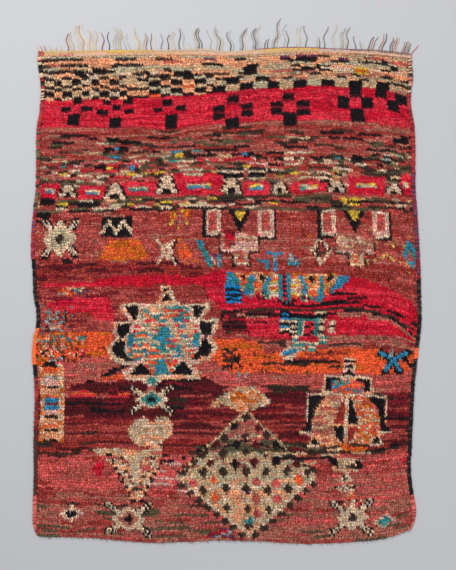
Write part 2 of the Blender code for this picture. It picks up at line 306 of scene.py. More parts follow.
# Where the rows of knots run: row number, then the place along the rug at each station across it
STATIONS = (0.00, 0.20, 0.40, 0.60, 0.75, 0.85, 0.93, 1.00)
ROW_GUIDES = (
    (15, (0.769, 0.769, 0.790, 0.819, 0.827, 0.825, 0.815, 0.785)),
    (27, (0.655, 0.651, 0.657, 0.682, 0.685, 0.676, 0.666, 0.657)),
    (43, (0.496, 0.496, 0.502, 0.508, 0.512, 0.506, 0.500, 0.496)),
    (62, (0.294, 0.302, 0.309, 0.307, 0.307, 0.307, 0.305, 0.298)),
    (86, (0.034, 0.042, 0.050, 0.046, 0.044, 0.042, 0.029, 0.004)),
    (103, (-0.143, -0.143, -0.139, -0.134, -0.137, -0.126, -0.139, -0.197)),
    (116, (-0.277, -0.277, -0.277, -0.273, -0.273, -0.269, -0.273, -0.286)),
    (128, (-0.407, -0.407, -0.403, -0.395, -0.395, -0.399, -0.403, -0.407)),
    (141, (-0.542, -0.540, -0.538, -0.538, -0.538, -0.538, -0.542, -0.542)),
    (156, (-0.697, -0.693, -0.695, -0.697, -0.695, -0.693, -0.689, -0.680)),
    (176, (-0.903, -0.916, -0.916, -0.911, -0.911, -0.907, -0.899, -0.886)),
)

# Colours of the yarns, as shades from 0 to 255
YARNS = {
    "crimson": (196, 22, 48),
    "red": (214, 48, 66),
    "madder": (168, 70, 64),
    "brick": (154, 52, 46),
    "rose": (186, 88, 80),
    "dusty": (174, 104, 88),
    "maroon": (88, 26, 32),
    "wine": (122, 28, 40),
    "salmon": (212, 92, 88),
    "orange": (228, 92, 50),
    "amber": (202, 102, 32),
    "peach": (226, 158, 118),
    "cream": (214, 184, 156),
    "pink": (222, 168, 156),
    "sage": (186, 170, 140),
    "yellow": (218, 178, 62),
    "ochre": (192, 152, 86),
    "sand": (198, 164, 128),
    "blue": (52, 134, 170),
    "sky": (20, 132, 196),
    "teal": (56, 132, 130),
    "black": (26, 22, 26),
    "bark": (62, 46, 38),
    "olive": (92, 82, 60),
    "ash": (150, 152, 152),
    "plum": (112, 54, 84),
}
INKS = {name: number for number, name in enumerate(YARNS)}

# The two side cords, from the plain end: up to which place along the rug, and the yarns that take turns
LEFT_CORD = (
    (-0.90, "rose brick rose"),
    (-0.62, "bark bark maroon"),
    (-0.40, "brick bark wine"),
    (-0.35, "black"),
    (-0.20, "orange amber"),
    (0.09, "black black bark"),
    (0.30, "wine brick plum"),
    (0.64, "bark brick olive"),
    (0.76, "brick wine"),
    (0.93, "black sage bark brick sand"),
    (1.20, "brick sand ochre"),
)
RIGHT_CORD = (
    (-0.90, "brick wine rose"),
    (-0.33, "black bark black"),
    (-0.28, "orange"),
    (0.01, "black black bark"),
    (0.45, "plum wine bark"),
    (0.78, "brick wine"),
    (0.93, "bark sage dusty bark"),
    (1.20, "pink rose olive"),
)

# Ribs of the heading, from the left: up to which place across, and the yarns from the pile outwards
HEADING_YARNS = (
    (-0.762, ("dusty sand brick", "brick dusty", "brick rose")),
    (-0.700, ("pink dusty sand", "ochre sand", "ochre sage")),
    (-0.636, ("pink brick dusty", "brick sand pink", "sand ochre")),
    (-0.498, ("sand pink sage", "sand pink", "ochre sand")),
    (-0.405, ("pink dusty sand", "ochre sand", "yellow ochre")),
    (-0.300, ("pink sage dusty", "sand ochre", "ochre sand")),
    (-0.153, ("peach dusty sand", "peach sand", "sand ash")),
    (0.015, ("peach dusty sage", "pink sand", "sand ash")),
    (0.149, ("dusty sage sand", "sand pink", "sage sand")),
    (0.393, ("sand dusty sage", "ochre sand", "yellow ochre sand")),
    (0.519, ("dusty pink sand", "sand sage", "pink ash")),
    (0.900, ("sand dusty bark", "pink sand", "sand ash bark")),
)
TWINE = (
    (-0.770, -0.300, "ochre"),
    (-0.300, 0.120, "sand"),
    (0.120, 0.775, "plum"),
)

# Bands of the rug, from the fringed end: top row, row below, how many knots a yarn stays, how much a row
# keeps to its first yarn, and the yarns that take turns by chance, the commoner ones named more often
BANDS = (
    (0, 8, 9, 0.50, "sand sage peach sand cream peach sand peach rose"),
    (8, 15, 6, 0.20, "sand peach sage peach dusty sand"),
    (15, 27, 16, 0.55, "red crimson red red"),
    (27, 31, 18, 0.55, "rose dusty brick madder bark dusty madder"),
    (31, 41, 7, 0.20, "madder dusty brick rose dusty bark madder olive"),
    (41, 50, 5, 0.15, "madder rose brick dusty olive rose sand bark"),
    (50, 57, 6, 0.20, "madder rose brick dusty madder olive"),
    (57, 62, 9, 0.30, "madder bark dusty madder olive bark"),
    (62, 82, 8, 0.30, "madder rose madder brick madder rose dusty"),
    (82, 89, 9, 0.30, "madder brick rose brick madder"),
    (89, 117, 9, 0.35, "madder brick madder rose wine"),
    (117, 133, 10, 0.35, "rose madder rose salmon dusty"),
    (133, 143, 14, 0.65, "wine maroon brick maroon madder"),
    (143, 153, 14, 0.60, "brick madder maroon brick wine"),
    (153, 158, 14, 0.40, "brick maroon madder bark brick"),
    (158, 171, 10, 0.40, "salmon rose salmon madder brick rose"),
    (171, 177, 11, 0.40, "madder rose dusty madder brick"),
    (177, 192, 10, 0.35, "dusty dusty rose dusty madder dusty olive"),
)

# Patches on the bands: yarns, how many knots a yarn stays, and the outline as (column, row) corners
PATCH_KEEP = 0.40
PATCHES = (
    ("brick wine maroon brick madder", 9, (0, 82), (70, 82), (82, 85), (78, 89), (30, 88.5), (0, 88)),
    ("crimson red crimson", 16, (3, 88.5), (24, 89), (36, 87.5), (60, 87), (80, 88), (86, 86), (93, 85),
     (97, 97), (84, 97), (80, 91), (60, 90.4), (36, 91), (3, 90.6)),
    ("crimson red crimson", 18, (4, 97), (18, 95.4), (35, 95), (36, 104), (27, 104), (24, 100.6),
     (3, 100.4)),
    ("crimson red crimson", 18, (84, 95), (136, 95), (151, 87), (162, 88.6), (172, 91), (184, 95),
     (184, 111), (150, 110.5), (142, 113), (118, 112.5), (100, 111), (98, 102), (88, 101)),
    ("wine maroon brick crimson", 7, (88, 102), (93, 101), (101, 104.6), (101, 110), (90, 109)),
    ("rose dusty madder brick", 12, (90, 109.4), (118, 112), (150, 110.5), (184, 111.6), (184, 117),
     (88, 117)),
    ("orange orange amber orange brick", 7, (0, 110), (12, 109), (36, 109), (37, 113), (35, 118.6),
     (22, 119), (18, 121.5), (13, 120), (4, 122.5), (0, 122)),
    ("orange orange orange amber orange", 5, (85, 112), (96, 111.6), (108, 113.6), (112, 118),
     (128, 116.5), (150, 115.5), (184, 117.5), (184, 123), (180, 126.4), (98, 126.4), (88, 121),
     (84, 117)),
    ("maroon black maroon maroon wine", 8, (14, 131), (25, 127.8), (32, 129.3), (48, 127.4), (54, 128),
     (54, 132), (38, 133.8), (24, 132.4), (14, 132)),
    ("maroon black maroon maroon wine", 9, (58, 130), (62, 127.4), (83, 127.4), (90, 131), (95, 131.6),
     (84, 134), (58, 133.5)),
    ("rose orange rose red", 9, (13, 132.4), (24, 132.4), (34, 134.4), (45, 132.6), (45, 134.6),
     (32, 135.6), (13, 134.6)),
    ("maroon black maroon maroon wine", 9, (13, 135.6), (45, 135), (52, 136.6), (52, 141), (28, 140.6),
     (13, 140)),
    ("black maroon bark", 6, (60, 137.6), (66, 135.4), (74, 135), (73, 139.4), (60, 141)),
    ("maroon wine maroon bark", 10, (110, 131.4), (134, 131.4), (134, 134.6), (118, 134.4)),
    ("maroon bark wine", 10, (165, 133), (184, 133.6), (184, 136), (165, 135.4)),
    ("salmon rose salmon pink", 12, (55, 162), (72, 161), (76, 173), (55, 174)),
    ("red salmon crimson", 8, (31, 158.6), (35, 158.6), (31, 166.6), (26, 165.6)),
    ("rose dusty salmon dusty", 12, (126, 168), (150, 166), (184, 166), (184, 180), (160, 186),
     (126, 187)),
    ("olive bark black olive", 9, (76, 156), (88, 152.6), (102, 152.6), (103, 157), (84, 157.6)),
    ("bark olive black maroon", 9, (113, 156), (118, 153), (142, 152.6), (147, 157.4), (116, 157.8)),
    ("bark maroon bark", 9, (0, 156.4), (12, 157.6), (22, 155.6), (22, 157.4), (10, 159), (0, 158)),
    ("bark black bark", 9, (150, 156.6), (170, 156), (184, 154.6), (184, 156), (166, 158.4), (150, 158.2)),
    ("bark madder bark", 9, (10, 176.4), (30, 176.8), (46, 177.2), (42, 178.4), (12, 177.8)),
)

# Short courses scattered by chance: yarns, how many, shortest and longest, and top row, row below, first
# column and column past the last of the part that they are in
SCATTER = (
    ("black bark black", 26, 4, 10, 1, 7, 0, 48),
    ("black bark black", 32, 4, 12, 1, 12, 44, 184),
    ("rose dusty bark brick", 20, 6, 18, 28, 32, 0, 184),
    ("black bark black olive", 60, 4, 13, 31, 42, 0, 184),
    ("sand sage cream dusty", 40, 4, 12, 33, 50, 0, 184),
    ("teal blue teal", 10, 3, 6, 35, 48, 0, 184),
    ("red crimson", 17, 5, 13, 41, 49, 4, 120),
    ("black bark", 52, 2, 7, 41, 52, 0, 184),
    ("cream pink sage cream", 56, 2, 7, 41, 52, 0, 184),
    ("yellow ochre", 15, 3, 5, 44, 50, 4, 150),
    ("olive bark olive dusty", 18, 8, 22, 56, 59, 0, 184),
    ("cream sage peach", 18, 3, 9, 57, 61, 0, 184),
    ("yellow ochre", 9, 3, 5, 57, 61, 20, 165),
    ("black bark black", 22, 4, 12, 58, 62, 0, 184),
    ("bark maroon", 8, 6, 14, 101, 110, 86, 116),
    ("black bark", 24, 2, 6, 101, 110, 88, 103),
    ("dusty bark dusty", 12, 8, 22, 104, 117, 140, 184),
    ("bark brick brick", 5, 8, 20, 118, 126, 110, 152),
    ("maroon wine bark", 12, 8, 26, 141, 158, 14, 184),
    ("madder rose brick", 16, 5, 14, 160, 177, 0, 184),
    ("brick bark brick", 16, 5, 16, 177, 191, 0, 184),
)

# Single dark or bright knots scattered by chance: yarn, how many, and the rows and columns they are in
SPECKLES = (
    ("black", 40, 116, 124, 91, 100),
    ("bark", 24, 117, 126, 100, 150),
    ("bark", 26, 110, 121, 0, 26),
    ("black", 22, 99, 108, 3, 13),
    ("orange", 8, 99, 109, 2, 14),
    ("ash", 12, 125, 129, 98, 104),
    ("ochre", 26, 66, 84, 160, 183),
    ("teal", 26, 98, 120, 0, 16),
    ("yellow", 10, 62, 69, 65, 75),
)

# Boxes of knots: yarns that take turns by row, then top row, row below, first column and column
# past the last of each box
BOXES = (
    ("black", (3, 4, 38, 51), (4, 5, 25, 32), (5, 7, 16, 22), (6, 7, 45, 54), (6, 7, 66, 75),
     (9, 10, 87, 91), (10, 12, 92, 99), (5, 9, 101, 108), (4, 6, 103, 109), (10, 12, 107, 114),
     (10, 11, 121, 126), (9, 10, 134, 140), (10, 11, 148, 153), (9, 10, 155, 160), (9, 10, 170, 176),
     (6, 7, 130, 140), (5, 6, 138, 145), (6, 7, 170, 175), (4, 6, 175, 179)),
    ("plum black", (1, 2, 82, 88), (1, 3, 120, 125), (1, 3, 128, 139), (2, 4, 149, 154)),
    ("black", (2, 4, 159, 160), (2, 4, 163, 164), (2, 4, 168, 169), (2, 4, 171, 174)),
    ("yellow amber", (6, 9, 157, 164)),
    # The red band, its left half
    ("black", (15, 17, 15, 19), (18, 20, 9, 14), (18, 20, 19, 25), (19, 21, 27, 33), (15, 17, 30, 34),
     (17, 19, 35, 39), (15, 17, 40, 45), (19, 21, 41, 46), (21, 26, 13, 19), (22, 27, 34, 40),
     (16, 19, 60, 65), (19, 21, 56, 60), (19, 21, 67, 72), (22, 27, 62, 68)),
    # The dashed courses
    ("black", (30, 31, 10, 24), (32, 33, 34, 44), (32, 34, 175, 183), (35, 37, 32, 37), (35, 37, 39, 44),
     (36, 37, 96, 104), (37, 38, 82, 98), (37, 38, 121, 133), (40, 41, 101, 110), (43, 45, 27, 33),
     (40, 43, 155, 160), (61, 62, 15, 26), (61, 62, 45, 56), (61, 62, 72, 92), (56, 59, 1, 8)),
    ("black ash black", (40, 43, 170, 174)),
    ("blue", (37, 38, 65, 71), (43, 45, 45, 47)),
    ("yellow", (38, 40, 67, 71), (47, 48, 124, 129), (57, 59, 149, 152)),
    ("cream pink", (60, 61, 27, 41), (60, 61, 48, 56), (60, 61, 70, 93), (60, 61, 101, 108)),
    ("olive bark", (43, 45, 178, 184), (55, 57, 88, 125), (46, 48, 165, 180)),
    ("black cream black", (45, 50, 88, 101), (45, 50, 103, 112), (48, 51, 139, 145)),
    ("yellow black yellow", (57, 60, 153, 158)),
    ("yellow black cream", (58, 61, 9, 15), (58, 61, 60, 66)),
    ("black", (62, 64, 0, 7), (59, 60, 20, 30), (59, 60, 98, 110)),
    ("black", (65, 66, 0, 4), (65, 66, 10, 15), (66, 69, 18, 20), (80, 82, 13, 18)),
    ("amber", (62, 65, 65, 68), (62, 65, 72, 75), (72, 73, 80, 82), (71, 72, 132, 135)),
)

# Checkers: top row, row below, first column, column past the last, width and height of a square, share of
# the dark squares that are black, and the yarns of the squares between them
CHECKERS = (
    (7, 15, 0, 47, 4.7, 1.34, 0.90, "sand peach cream peach sand"),
    (8, 15, 47, 86, 5.8, 1.4, 0.95, "sand peach cream sage orange"),
    (12, 15, 85, 175, 6.9, 3.0, 1.0, "sand peach sage sand"),
)

# Black squares of the red band, in checkered crosses: middle column and row, and the yarn of their stripes
CROSS_SQUARE = (7.0, 4.8)
STRIPE_PITCH = 3
CROSS_SQUARES = (
    (96, 18, "wine"), (89, 22.6, "wine"), (103, 22.6, "wine"), (95.5, 27, "black"),
    (124, 18, "wine"), (118, 22.4, "wine"), (131.6, 22.4, "wine"), (124.8, 26.8, "black"),
    (158, 15.6, "black"), (152, 20, "black"), (164, 20, "black"), (158.6, 24.8, "black"),
    (171, 15.8, "black"), (177, 20, "black"), (181.4, 17, "black"),
)

# Red panels of the band of trees: first column, column past the last, top row, row below
PANELS = (
    (1, 10, 50, 56),
    (20, 33, 51, 57),
    (40, 58, 50, 56),
    (67, 91, 48, 56),
    (101, 114, 51, 56),
    (125, 142, 51, 55),
    (153, 171, 48, 56),
    (179, 184, 47, 55),
)

# A panel's yarns and how many knots a yarn stays, then the same of its two courses after their rows from
# the middle. The courses leave one part of the panel's width free at each end.
PANEL_GROUND = ("red crimson red", 12)
PANEL_COURSES = ((-1, "cream yellow sage", 4), (0, "blue teal cream", 4))
PANEL_PARTS = 4

# Stepped trees: middle column, top row, row below, half width at the top, growth by row, width of every
# second step as a share, and the rows and width of the feet
TREES = (
    (14, 51, 56), (37.5, 50, 57), (63, 48, 55), (95, 49, 55), (119, 51, 55), (147, 50, 55),
    (175.5, 51, 55),
)
TREE_TOP = 2
TREE_SPREAD = 0.55
TREE_STEP = 0.8
FOOT_ROWS = 2
FOOT_WIDTH = 2.5

# Stepped white crosses: middle column and top row
CROSSES = ((99.3, 61.6), (155.2, 61.6))

# Parts of a stepped cross: least and greatest distance aside of its middle, first and last row below its
# top, how many knots a yarn stays, how much a row keeps to its first yarn, and the yarns
CROSS_PARTS = (
    (9.2, 18.2, 0.0, 11.4, 1, 0.0, "black"),
    (9.2, 16.6, 0.0, 10.0, 3, 0.0, "cream pink cream"),
    (10.8, 15.2, 1.3, 8.7, 3, 0.0, "rose madder rose salmon"),
    (9.2, 16.4, 10.0, 11.4, 1, 0.0, "black"),
    (0.0, 9.8, 9.6, 17.0, 4, 0.0, "bark madder bark"),
    (0.0, 9.0, 9.6, 16.0, 5, 0.4, "sand dusty cream rose sand pink"),
    (0.0, 4.4, 16.0, 22.6, 3, 0.0, "bark black madder"),
    (0.0, 3.4, 16.0, 21.8, 3, 0.0, "sand peach dusty cream"),
    (0.0, 1.3, 16.0, 20.6, 2, 0.0, "orange peach rose"),
)

# The notch between its arms: half width at the top, how fast it narrows, and yarn
CROSS_NOTCH = ((5.4, 0.56, "black"), (3.4, 0.72, "yellow"))

# Filled shapes, in the order of painting: yarns, how many knots a yarn stays, and the corners
SHAPES = (
    ("black", 9, (32, 63.6), (46.6, 63.6), (46.6, 71.6), (32, 71.6)),
    ("amber orange amber amber", 6, (36, 73.5), (51, 73.5), (56, 81.5), (29, 81.5)),
    ("orange amber rose", 4, (66, 73), (71, 73), (76, 78), (80, 83.3), (72, 83)),
    ("olive teal orange peach ash plum sand", 2, (9, 92.8), (13, 91), (25, 91.6), (25, 93), (17, 94.6),
     (11, 94)),
    ("orange ash amber teal orange peach olive brick orange", 1, (0, 110.4), (14, 109.4), (24, 110.6),
     (22, 115), (12, 117.4), (0, 116)),
    ("black orange cream orange bark", 1, (1.6, 116), (8, 116), (9, 119), (1.6, 119)),
    ("black cream red orange orange", 1, (13.6, 116.6), (25, 115.6), (24, 118.4), (17, 119)),
    ("teal", 2, (19.6, 111), (24, 111), (24, 112.2), (19.6, 112.2)),
    # Blue figures between the crosses and the zigzag band
    ("blue teal", 2, (78, 74.5), (81, 74.5), (84.5, 80), (86, 84.5), (83.6, 84.5), (81, 79)),
    ("blue ash", 2, (88, 79.5), (90, 79.5), (89.6, 84.5), (87.8, 84.5)),
    ("plum pink", 2, (84.6, 79), (87, 79), (87.2, 83), (85.6, 83)),
    ("blue ash", 3, (112, 78), (120, 78), (120, 79.4), (112, 79.4)),
    ("blue teal", 3, (107.5, 80.8), (113, 80.8), (113, 84.6), (111, 84.6), (110.6, 82.2), (107.5, 82.2)),
    ("blue ash", 3, (115, 79), (116.6, 79), (117, 84.6), (115.4, 84.6)),
    ("ash blue teal plum", 2, (123, 79.5), (125.4, 79.5), (128, 81.4), (127, 84), (123, 83),
     (120.5, 81.4)),
    ("blue teal", 2, (179, 73.5), (181, 72), (183.6, 73.8), (184, 80), (181.5, 81), (178, 78)),
    ("madder rose", 2, (180.6, 74.6), (182.4, 74.6), (182.6, 79), (180.4, 79)),
    # Zigzag band
    ("amber peach ochre orange", 3, (96, 86), (118, 86), (118, 94.6), (100, 94)),
    ("amber peach ochre orange", 3, (124, 86), (147, 86.5), (143, 94), (136, 96), (124, 95)),
    ("cream peach orange sage yellow", 1, (112, 87), (130, 87), (131, 95.6), (112, 95.6)),
    ("crimson black teal red cream", 1, (100, 94.6), (118, 94), (134, 95), (136, 96.6), (118, 98),
     (104, 96)),
    ("blue teal", 4, (92, 86), (95.4, 86), (98.6, 89.4), (97, 93.4), (91, 93.4)),
    ("teal blue", 3, (103, 86.6), (106.2, 86.6), (104.4, 94.2), (99.6, 94.2)),
    ("teal blue", 3, (112, 87), (114.4, 88), (112, 91.4), (112.6, 94.6), (110, 94.6), (109, 92.4)),
    ("teal blue", 3, (126.4, 86.6), (129, 86.6), (131.6, 92), (130, 95.6), (128, 94), (129, 91)),
    ("teal blue", 3, (136.8, 87), (138.8, 87), (139.4, 96.4), (135, 96.8), (136.6, 92)),
    ("blue", 5, (146.4, 86.6), (152, 86.8), (150.4, 90), (143, 94), (141.6, 93), (145, 89.4)),
    ("black", 2, (98, 87), (100.6, 86.6), (101.4, 89), (99.6, 88.4)),
    ("black", 2, (109, 86.4), (110.8, 88.2), (109.6, 89.8), (107.4, 88)),
    ("black", 2, (133.4, 86.4), (135, 88.2), (133.4, 90), (131.6, 88.2)),
    ("black", 2, (142.6, 86.2), (144, 87.6), (142, 89.8), (139.4, 88.8)),
    # Finial of the first medallion, and a crimson stem in the first cross
    ("cream peach", 3, (60, 91), (64.6, 91), (67.4, 97), (70, 98), (56, 98), (61, 94)),
    ("black", 2, (61.4, 91.6), (64.4, 91.6), (64.4, 93), (61.4, 93)),
    ("black", 2, (62.8, 93.4), (65.6, 97), (59.8, 97)),
    ("crimson wine madder", 4, (92.5, 70), (96.5, 70), (97, 76), (92.5, 76)),
    # Cloud and rounded pair
    ("sand cream sage peach", 4, (98, 131.4), (107, 131.2), (111, 134), (115.6, 136.8), (112, 139.4),
     (105, 139.6), (103, 141.6), (98, 140.6), (92, 138.4), (84, 138.8)),
    ("amber peach amber peach", 4, (94.6, 134), (100, 132.8), (102, 134.6), (106, 132.8), (111, 135.2),
     (107, 138), (101, 139.8), (95, 137)),
    ("cream sand cream peach", 5, (44.6, 148), (48, 144.4), (53, 143.2), (56, 145.6), (60, 143.2),
     (65, 143.2), (67.6, 147), (66, 151), (60, 154.6), (57, 155.6), (50, 154.8), (46.4, 152)),
    ("orange rose orange", 5, (31, 126), (43, 125.6), (41, 128.4), (33, 128.6)),
    ("black", 5, (31, 126.6), (36, 123.8), (44, 121.8), (45, 122.6), (41, 124.6), (35, 126.8)),
    # Hanging steps of the left half
    ("peach sand cream rose peach", 3, (28, 156), (62, 155.4), (62, 160), (52, 175.6), (47, 175.6),
     (38, 163), (30, 158)),
    ("sage sand cream", 3, (45, 158), (52, 158), (50, 170), (47, 170)),
    # Small triangle, trapezoid and hooks of the right side
    ("peach sand bark cream", 3, (149, 160), (162, 160), (160, 164.6), (147, 164.6)),
    ("black", 3, (145, 160), (149, 160), (150, 164), (146.6, 162.6)),
    ("black", 3, (160.4, 159.6), (162.4, 163.6), (158, 163.6)),
    ("cream", 3, (150, 169), (152.6, 165.4), (154.6, 165.4), (157.4, 169)),
    ("black", 3, (151.2, 168.2), (152.8, 165.8), (154.8, 168.2)),
    ("orange peach", 2, (153, 172.6), (157, 172.6), (157, 176), (153, 176)),
    ("black sage cream madder", 1, (147, 170.4), (159, 170.4), (157, 172.8), (149, 172.8)),
    ("black cream madder rose", 1, (148, 176), (160, 176), (160, 178.2), (148, 178.2)),
    ("red", 2, (181, 161.4), (184, 161.4), (184, 163.4), (181, 163.4)),
    ("wine plum ash crimson", 3, (86, 188), (95, 187), (97, 191), (82, 191)),
)

# Narrow streaks: yarn, half of the depth in rows, and the run as (column, row) points
STREAKS = (
    ("cream", 0.6, (32, 70.6), (35.6, 65.4), (39.2, 70.6), (42.8, 65.4), (46.6, 70.6)),
    ("black", 0.5, (88, 105), (90, 102.6), (93, 101), (97, 102), (100, 102.7), (117, 102.7)),
    ("dusty", 0.5, (97, 102.8), (110, 103.6)),
    ("black", 0.6, (122, 102.6), (140, 102.6), (150, 102), (158, 101)),
    ("dusty", 1.0, (146, 103.4), (158, 102.4), (168, 103.4), (178, 106), (184, 108)),
    ("black", 0.6, (160, 101.6), (170, 102.8), (178, 104.8), (184, 107)),
    ("black", 0.5, (138, 97.6), (150, 97), (159, 96.4)),
    ("black", 0.4, (140, 95), (155, 94.2)),
    ("bark", 0.6, (108, 113.6), (121, 114)),
    ("black", 0.4, (122, 121.6), (149, 121.4)),
    ("bark", 0.4, (141, 123), (149, 123.4)),
    ("black", 0.5, (172, 143.4), (184, 143.4)),
    ("black", 0.7, (5, 122), (9, 120.6), (14, 118.6)),
    ("ash", 0.5, (6, 121), (12, 119.4)),
    ("cream", 0.7, (119, 118.4), (123, 115.6), (127, 116.6), (126, 119.6), (121, 120.4)),
    ("blue", 1.0, (121, 117.6), (126, 117.4)),
    ("black", 1.5, (168, 117.6), (174, 120), (178, 125)),
    ("black", 1.5, (181, 116.4), (175, 120), (171, 124.6)),
    ("blue", 0.8, (168, 117.4), (174, 120), (178, 124.6)),
    ("blue", 0.8, (180, 117), (175, 120), (171, 124)),
    ("black", 0.7, (180, 120), (184, 122.6)),
    ("sand", 0.4, (112, 157.4), (138, 158), (150, 158.4)),
    ("black", 0.5, (118, 159.2), (146, 159.4)),
    ("black", 0.4, (62, 160.4), (74, 159.8)),
    ("sand", 0.4, (132, 161.2), (146, 161)),
    ("sand", 0.4, (146, 156.6), (166, 157.6)),
    ("black", 0.4, (118, 98.6), (150, 98.4), (184, 101.4)),
    ("bark", 0.5, (98, 100.6), (150, 100.2), (184, 104)),
    ("ochre", 0.5, (166, 80), (170, 78.4), (174, 81)),
)

# Stars with forked arms: middle column and row, reach across and along, size of the lozenge as a share of
# the reach, and yarns of arms, edge, ring and middle
STARS = (
    (12.0, 72.0, 9.0, 7.6, 0.96, "cream", "black", "sage", "bark"),
    (56.2, 136.0, 11.4, 5.8, 0.78, "cream", "black", "teal", "black"),
    (45.2, 183.0, 12.0, 6.8, 0.74, "cream", "black", "dusty", "black"),
    (155.0, 182.8, 11.4, 7.0, 0.74, "cream", "black", "cream", "bark"),
    (63.6, 78.0, 5.4, 5.2, 0.66, "cream", "black", "cream", "rose"),
    (6.2, 102.2, 4.6, 2.6, 0.66, "ash", "olive", "rose", "olive"),
    (7.6, 106.8, 5.0, 2.6, 0.66, "ash", "bark", "peach", "orange"),
    (94.0, 118.8, 4.4, 3.4, 0.66, "bark", "orange", "brick", "orange"),
)

# Arms of a star: half width, inner and outer end as shares of its reach, and number of its yarn
STAR_ARMS = (
    (0.27, 0.0, 1.0, 1),
    (0.16, 0.0, 0.97, 0),
    (0.05, 0.62, 1.0, 1),
)

# Lozenges of a star: size as a share of the outermost, and number of its yarn
STAR_LOZENGES = ((1.0, 0), (0.66, 2), (0.34, 3))

# Lozenges with a ring: middle column and row, reach across and along, and yarns of ring and middle
RING_MIDDLE = 0.6
RINGS = (
    (138.4, 77.6, 5.6, 6.0, "cream cream black", "bark madder"),
    (173.4, 118.0, 2.2, 2.4, "ash black", "ash"),
    (56.6, 128.4, 4.4, 2.6, "cream", "teal"),
    (17.0, 181.6, 6.0, 3.4, "cream pink", "black"),
    (171.0, 185.0, 6.0, 3.2, "pink cream", "teal"),
)

# Yarns of the medallions and how many knots a yarn stays
MEDALLION_GROUND = ("cream peach cream pink cream", 5)
LEAF_YARNS = ("teal blue teal", 4)
LOBE_YARNS = (
    ("peach dusty rose peach dusty sand", 4),
    ("orange amber peach amber sand salmon", 2),
)
CAP_YARNS = ("blue orange teal orange salmon", 2)
SPINE_YARNS = ("cream peach cream", 3)
FOOT_YARNS = ("amber peach orange bark", 4)
BRIGHT_RUN = 2
LIGHT_RUN = 3

# The first medallion, right half: places aside of its middle and rows of its cream outline, and of the
# black wedges and blue leaves that lie inside on both sides
FIRST_MIDDLE = 61.3
FIRST_OUTLINE = (
    (21.4, 97.6), (22.4, 100.2), (17.6, 103.8), (25.6, 104.0), (25.6, 107.6), (23.2, 111.2),
    (27.4, 115.2), (24.8, 120.2), (18.6, 121.6), (14.0, 122.2), (19.6, 125.4), (18.4, 128.2),
)
FIRST_WEDGES = (
    ((13.0, 99.0), (19.8, 99.2), (15.4, 104.0), (14.4, 103.6)),
    ((16.4, 105.4), (23.4, 105.4), (22.6, 109.6), (18.0, 109.6)),
    ((19.6, 109.4), (21.2, 109.4), (21.2, 112.2), (25.0, 115.2), (22.0, 119.2), (14.2, 119.9),
     (18.0, 116.6), (18.4, 112.6), (20.0, 112.0)),
    ((4.6, 126.0), (9.4, 120.9), (11.4, 121.4), (15.6, 126.0)),
)
FIRST_LEAVES = (
    ((14.6, 109.0), (17.4, 109.0), (17.8, 115.4), (14.8, 115.0)),
    ((0.0, 106.6), (1.8, 107.0), (3.6, 111.2), (1.4, 112.6), (1.2, 116.4), (0.0, 116.4)),
    ((7.0, 116.0), (9.0, 116.0), (8.0, 119.6)),
    ((0.0, 119.0), (0.6, 119.4), (4.4, 125.8), (0.0, 125.8)),
)

# Its inside: yarns of the bright rows and of the light rows between them, top row, row below, half width
FIRST_INSIDE = (
    ("red teal orange crimson blue peach teal", "cream sage cream teal peach sand", 99.4, 104.8, 12.0),
    ("teal crimson blue red peach sage", "cream sage pink cream", 104.8, 109.2, 15.4),
    ("orange teal red orange sage blue", "sand cream sage peach cream teal", 109.2, 119.6, 15.8),
    ("orange red orange teal", "cream peach orange sand", 119.6, 125.8, 8.0),
)

# The second medallion, right half in the same way, with a lobe, half of its cap and half of its spine
SECOND_MIDDLE = 153.0
SECOND_OUTLINE = (
    (0.0, 119.8), (3.4, 120.6), (2.6, 124.4), (3.4, 127.0), (11.6, 127.2), (12.6, 131.0), (13.0, 133.6),
    (20.4, 134.0), (20.0, 141.6), (19.4, 145.6), (23.6, 149.8), (17.0, 150.8), (19.0, 155.0), (0.0, 155.4),
)
SECOND_WEDGES = (
    ((0.0, 121.2), (2.6, 121.2), (2.6, 122.4), (0.0, 122.4)),
    ((0.0, 123.2), (2.2, 123.2), (2.2, 124.0), (0.0, 124.0)),
    ((0.0, 124.8), (0.6, 124.8), (3.0, 126.8), (0.0, 126.8)),
    ((4.2, 128.4), (10.6, 128.4), (11.4, 133.4), (8.8, 133.4), (7.6, 130.8)),
    ((10.2, 135.2), (19.2, 135.2), (19.0, 141.0), (18.6, 144.6), (21.8, 148.6), (17.2, 148.6),
     (17.0, 144.0), (15.6, 140.0)),
    ((15.6, 151.0), (17.6, 154.0), (13.0, 154.0)),
)
SECOND_LOBE = ((2.0, 134.6), (17.4, 134.6), (17.4, 148.6), (10.1, 153.8), (2.0, 153.8))
SECOND_CAP = ((0.0, 128.6), (7.6, 128.6), (8.6, 131.0), (6.8, 133.6), (0.0, 133.6))
SECOND_SPINE = ((0.0, 134.4), (2.54, 134.4), (7.0, 146.8), (3.6, 154.0), (0.0, 154.0))
SECOND_FOOT = ((139.0, 153.8), (166.0, 153.8), (163.0, 156.6), (144.0, 156.6))

# Long wedges beside its spine: side, yarn, top row, row below, greatest reach, and whether it widens
# downwards. Their outer edges bulge by a power below 1.
LONG_WEDGES = (
    (-1, "brick", 135.0, 146.0, 5.8, True),
    (1, "black", 134.6, 146.0, 5.6, True),
    (-1, "black", 147.2, 153.8, 6.4, False),
    (1, "brick", 147.2, 153.8, 5.8, False),
)
WEDGE_ROUND = 0.6
WEDGE_GAP = 0.5
WEDGE_LEAST = 2.0

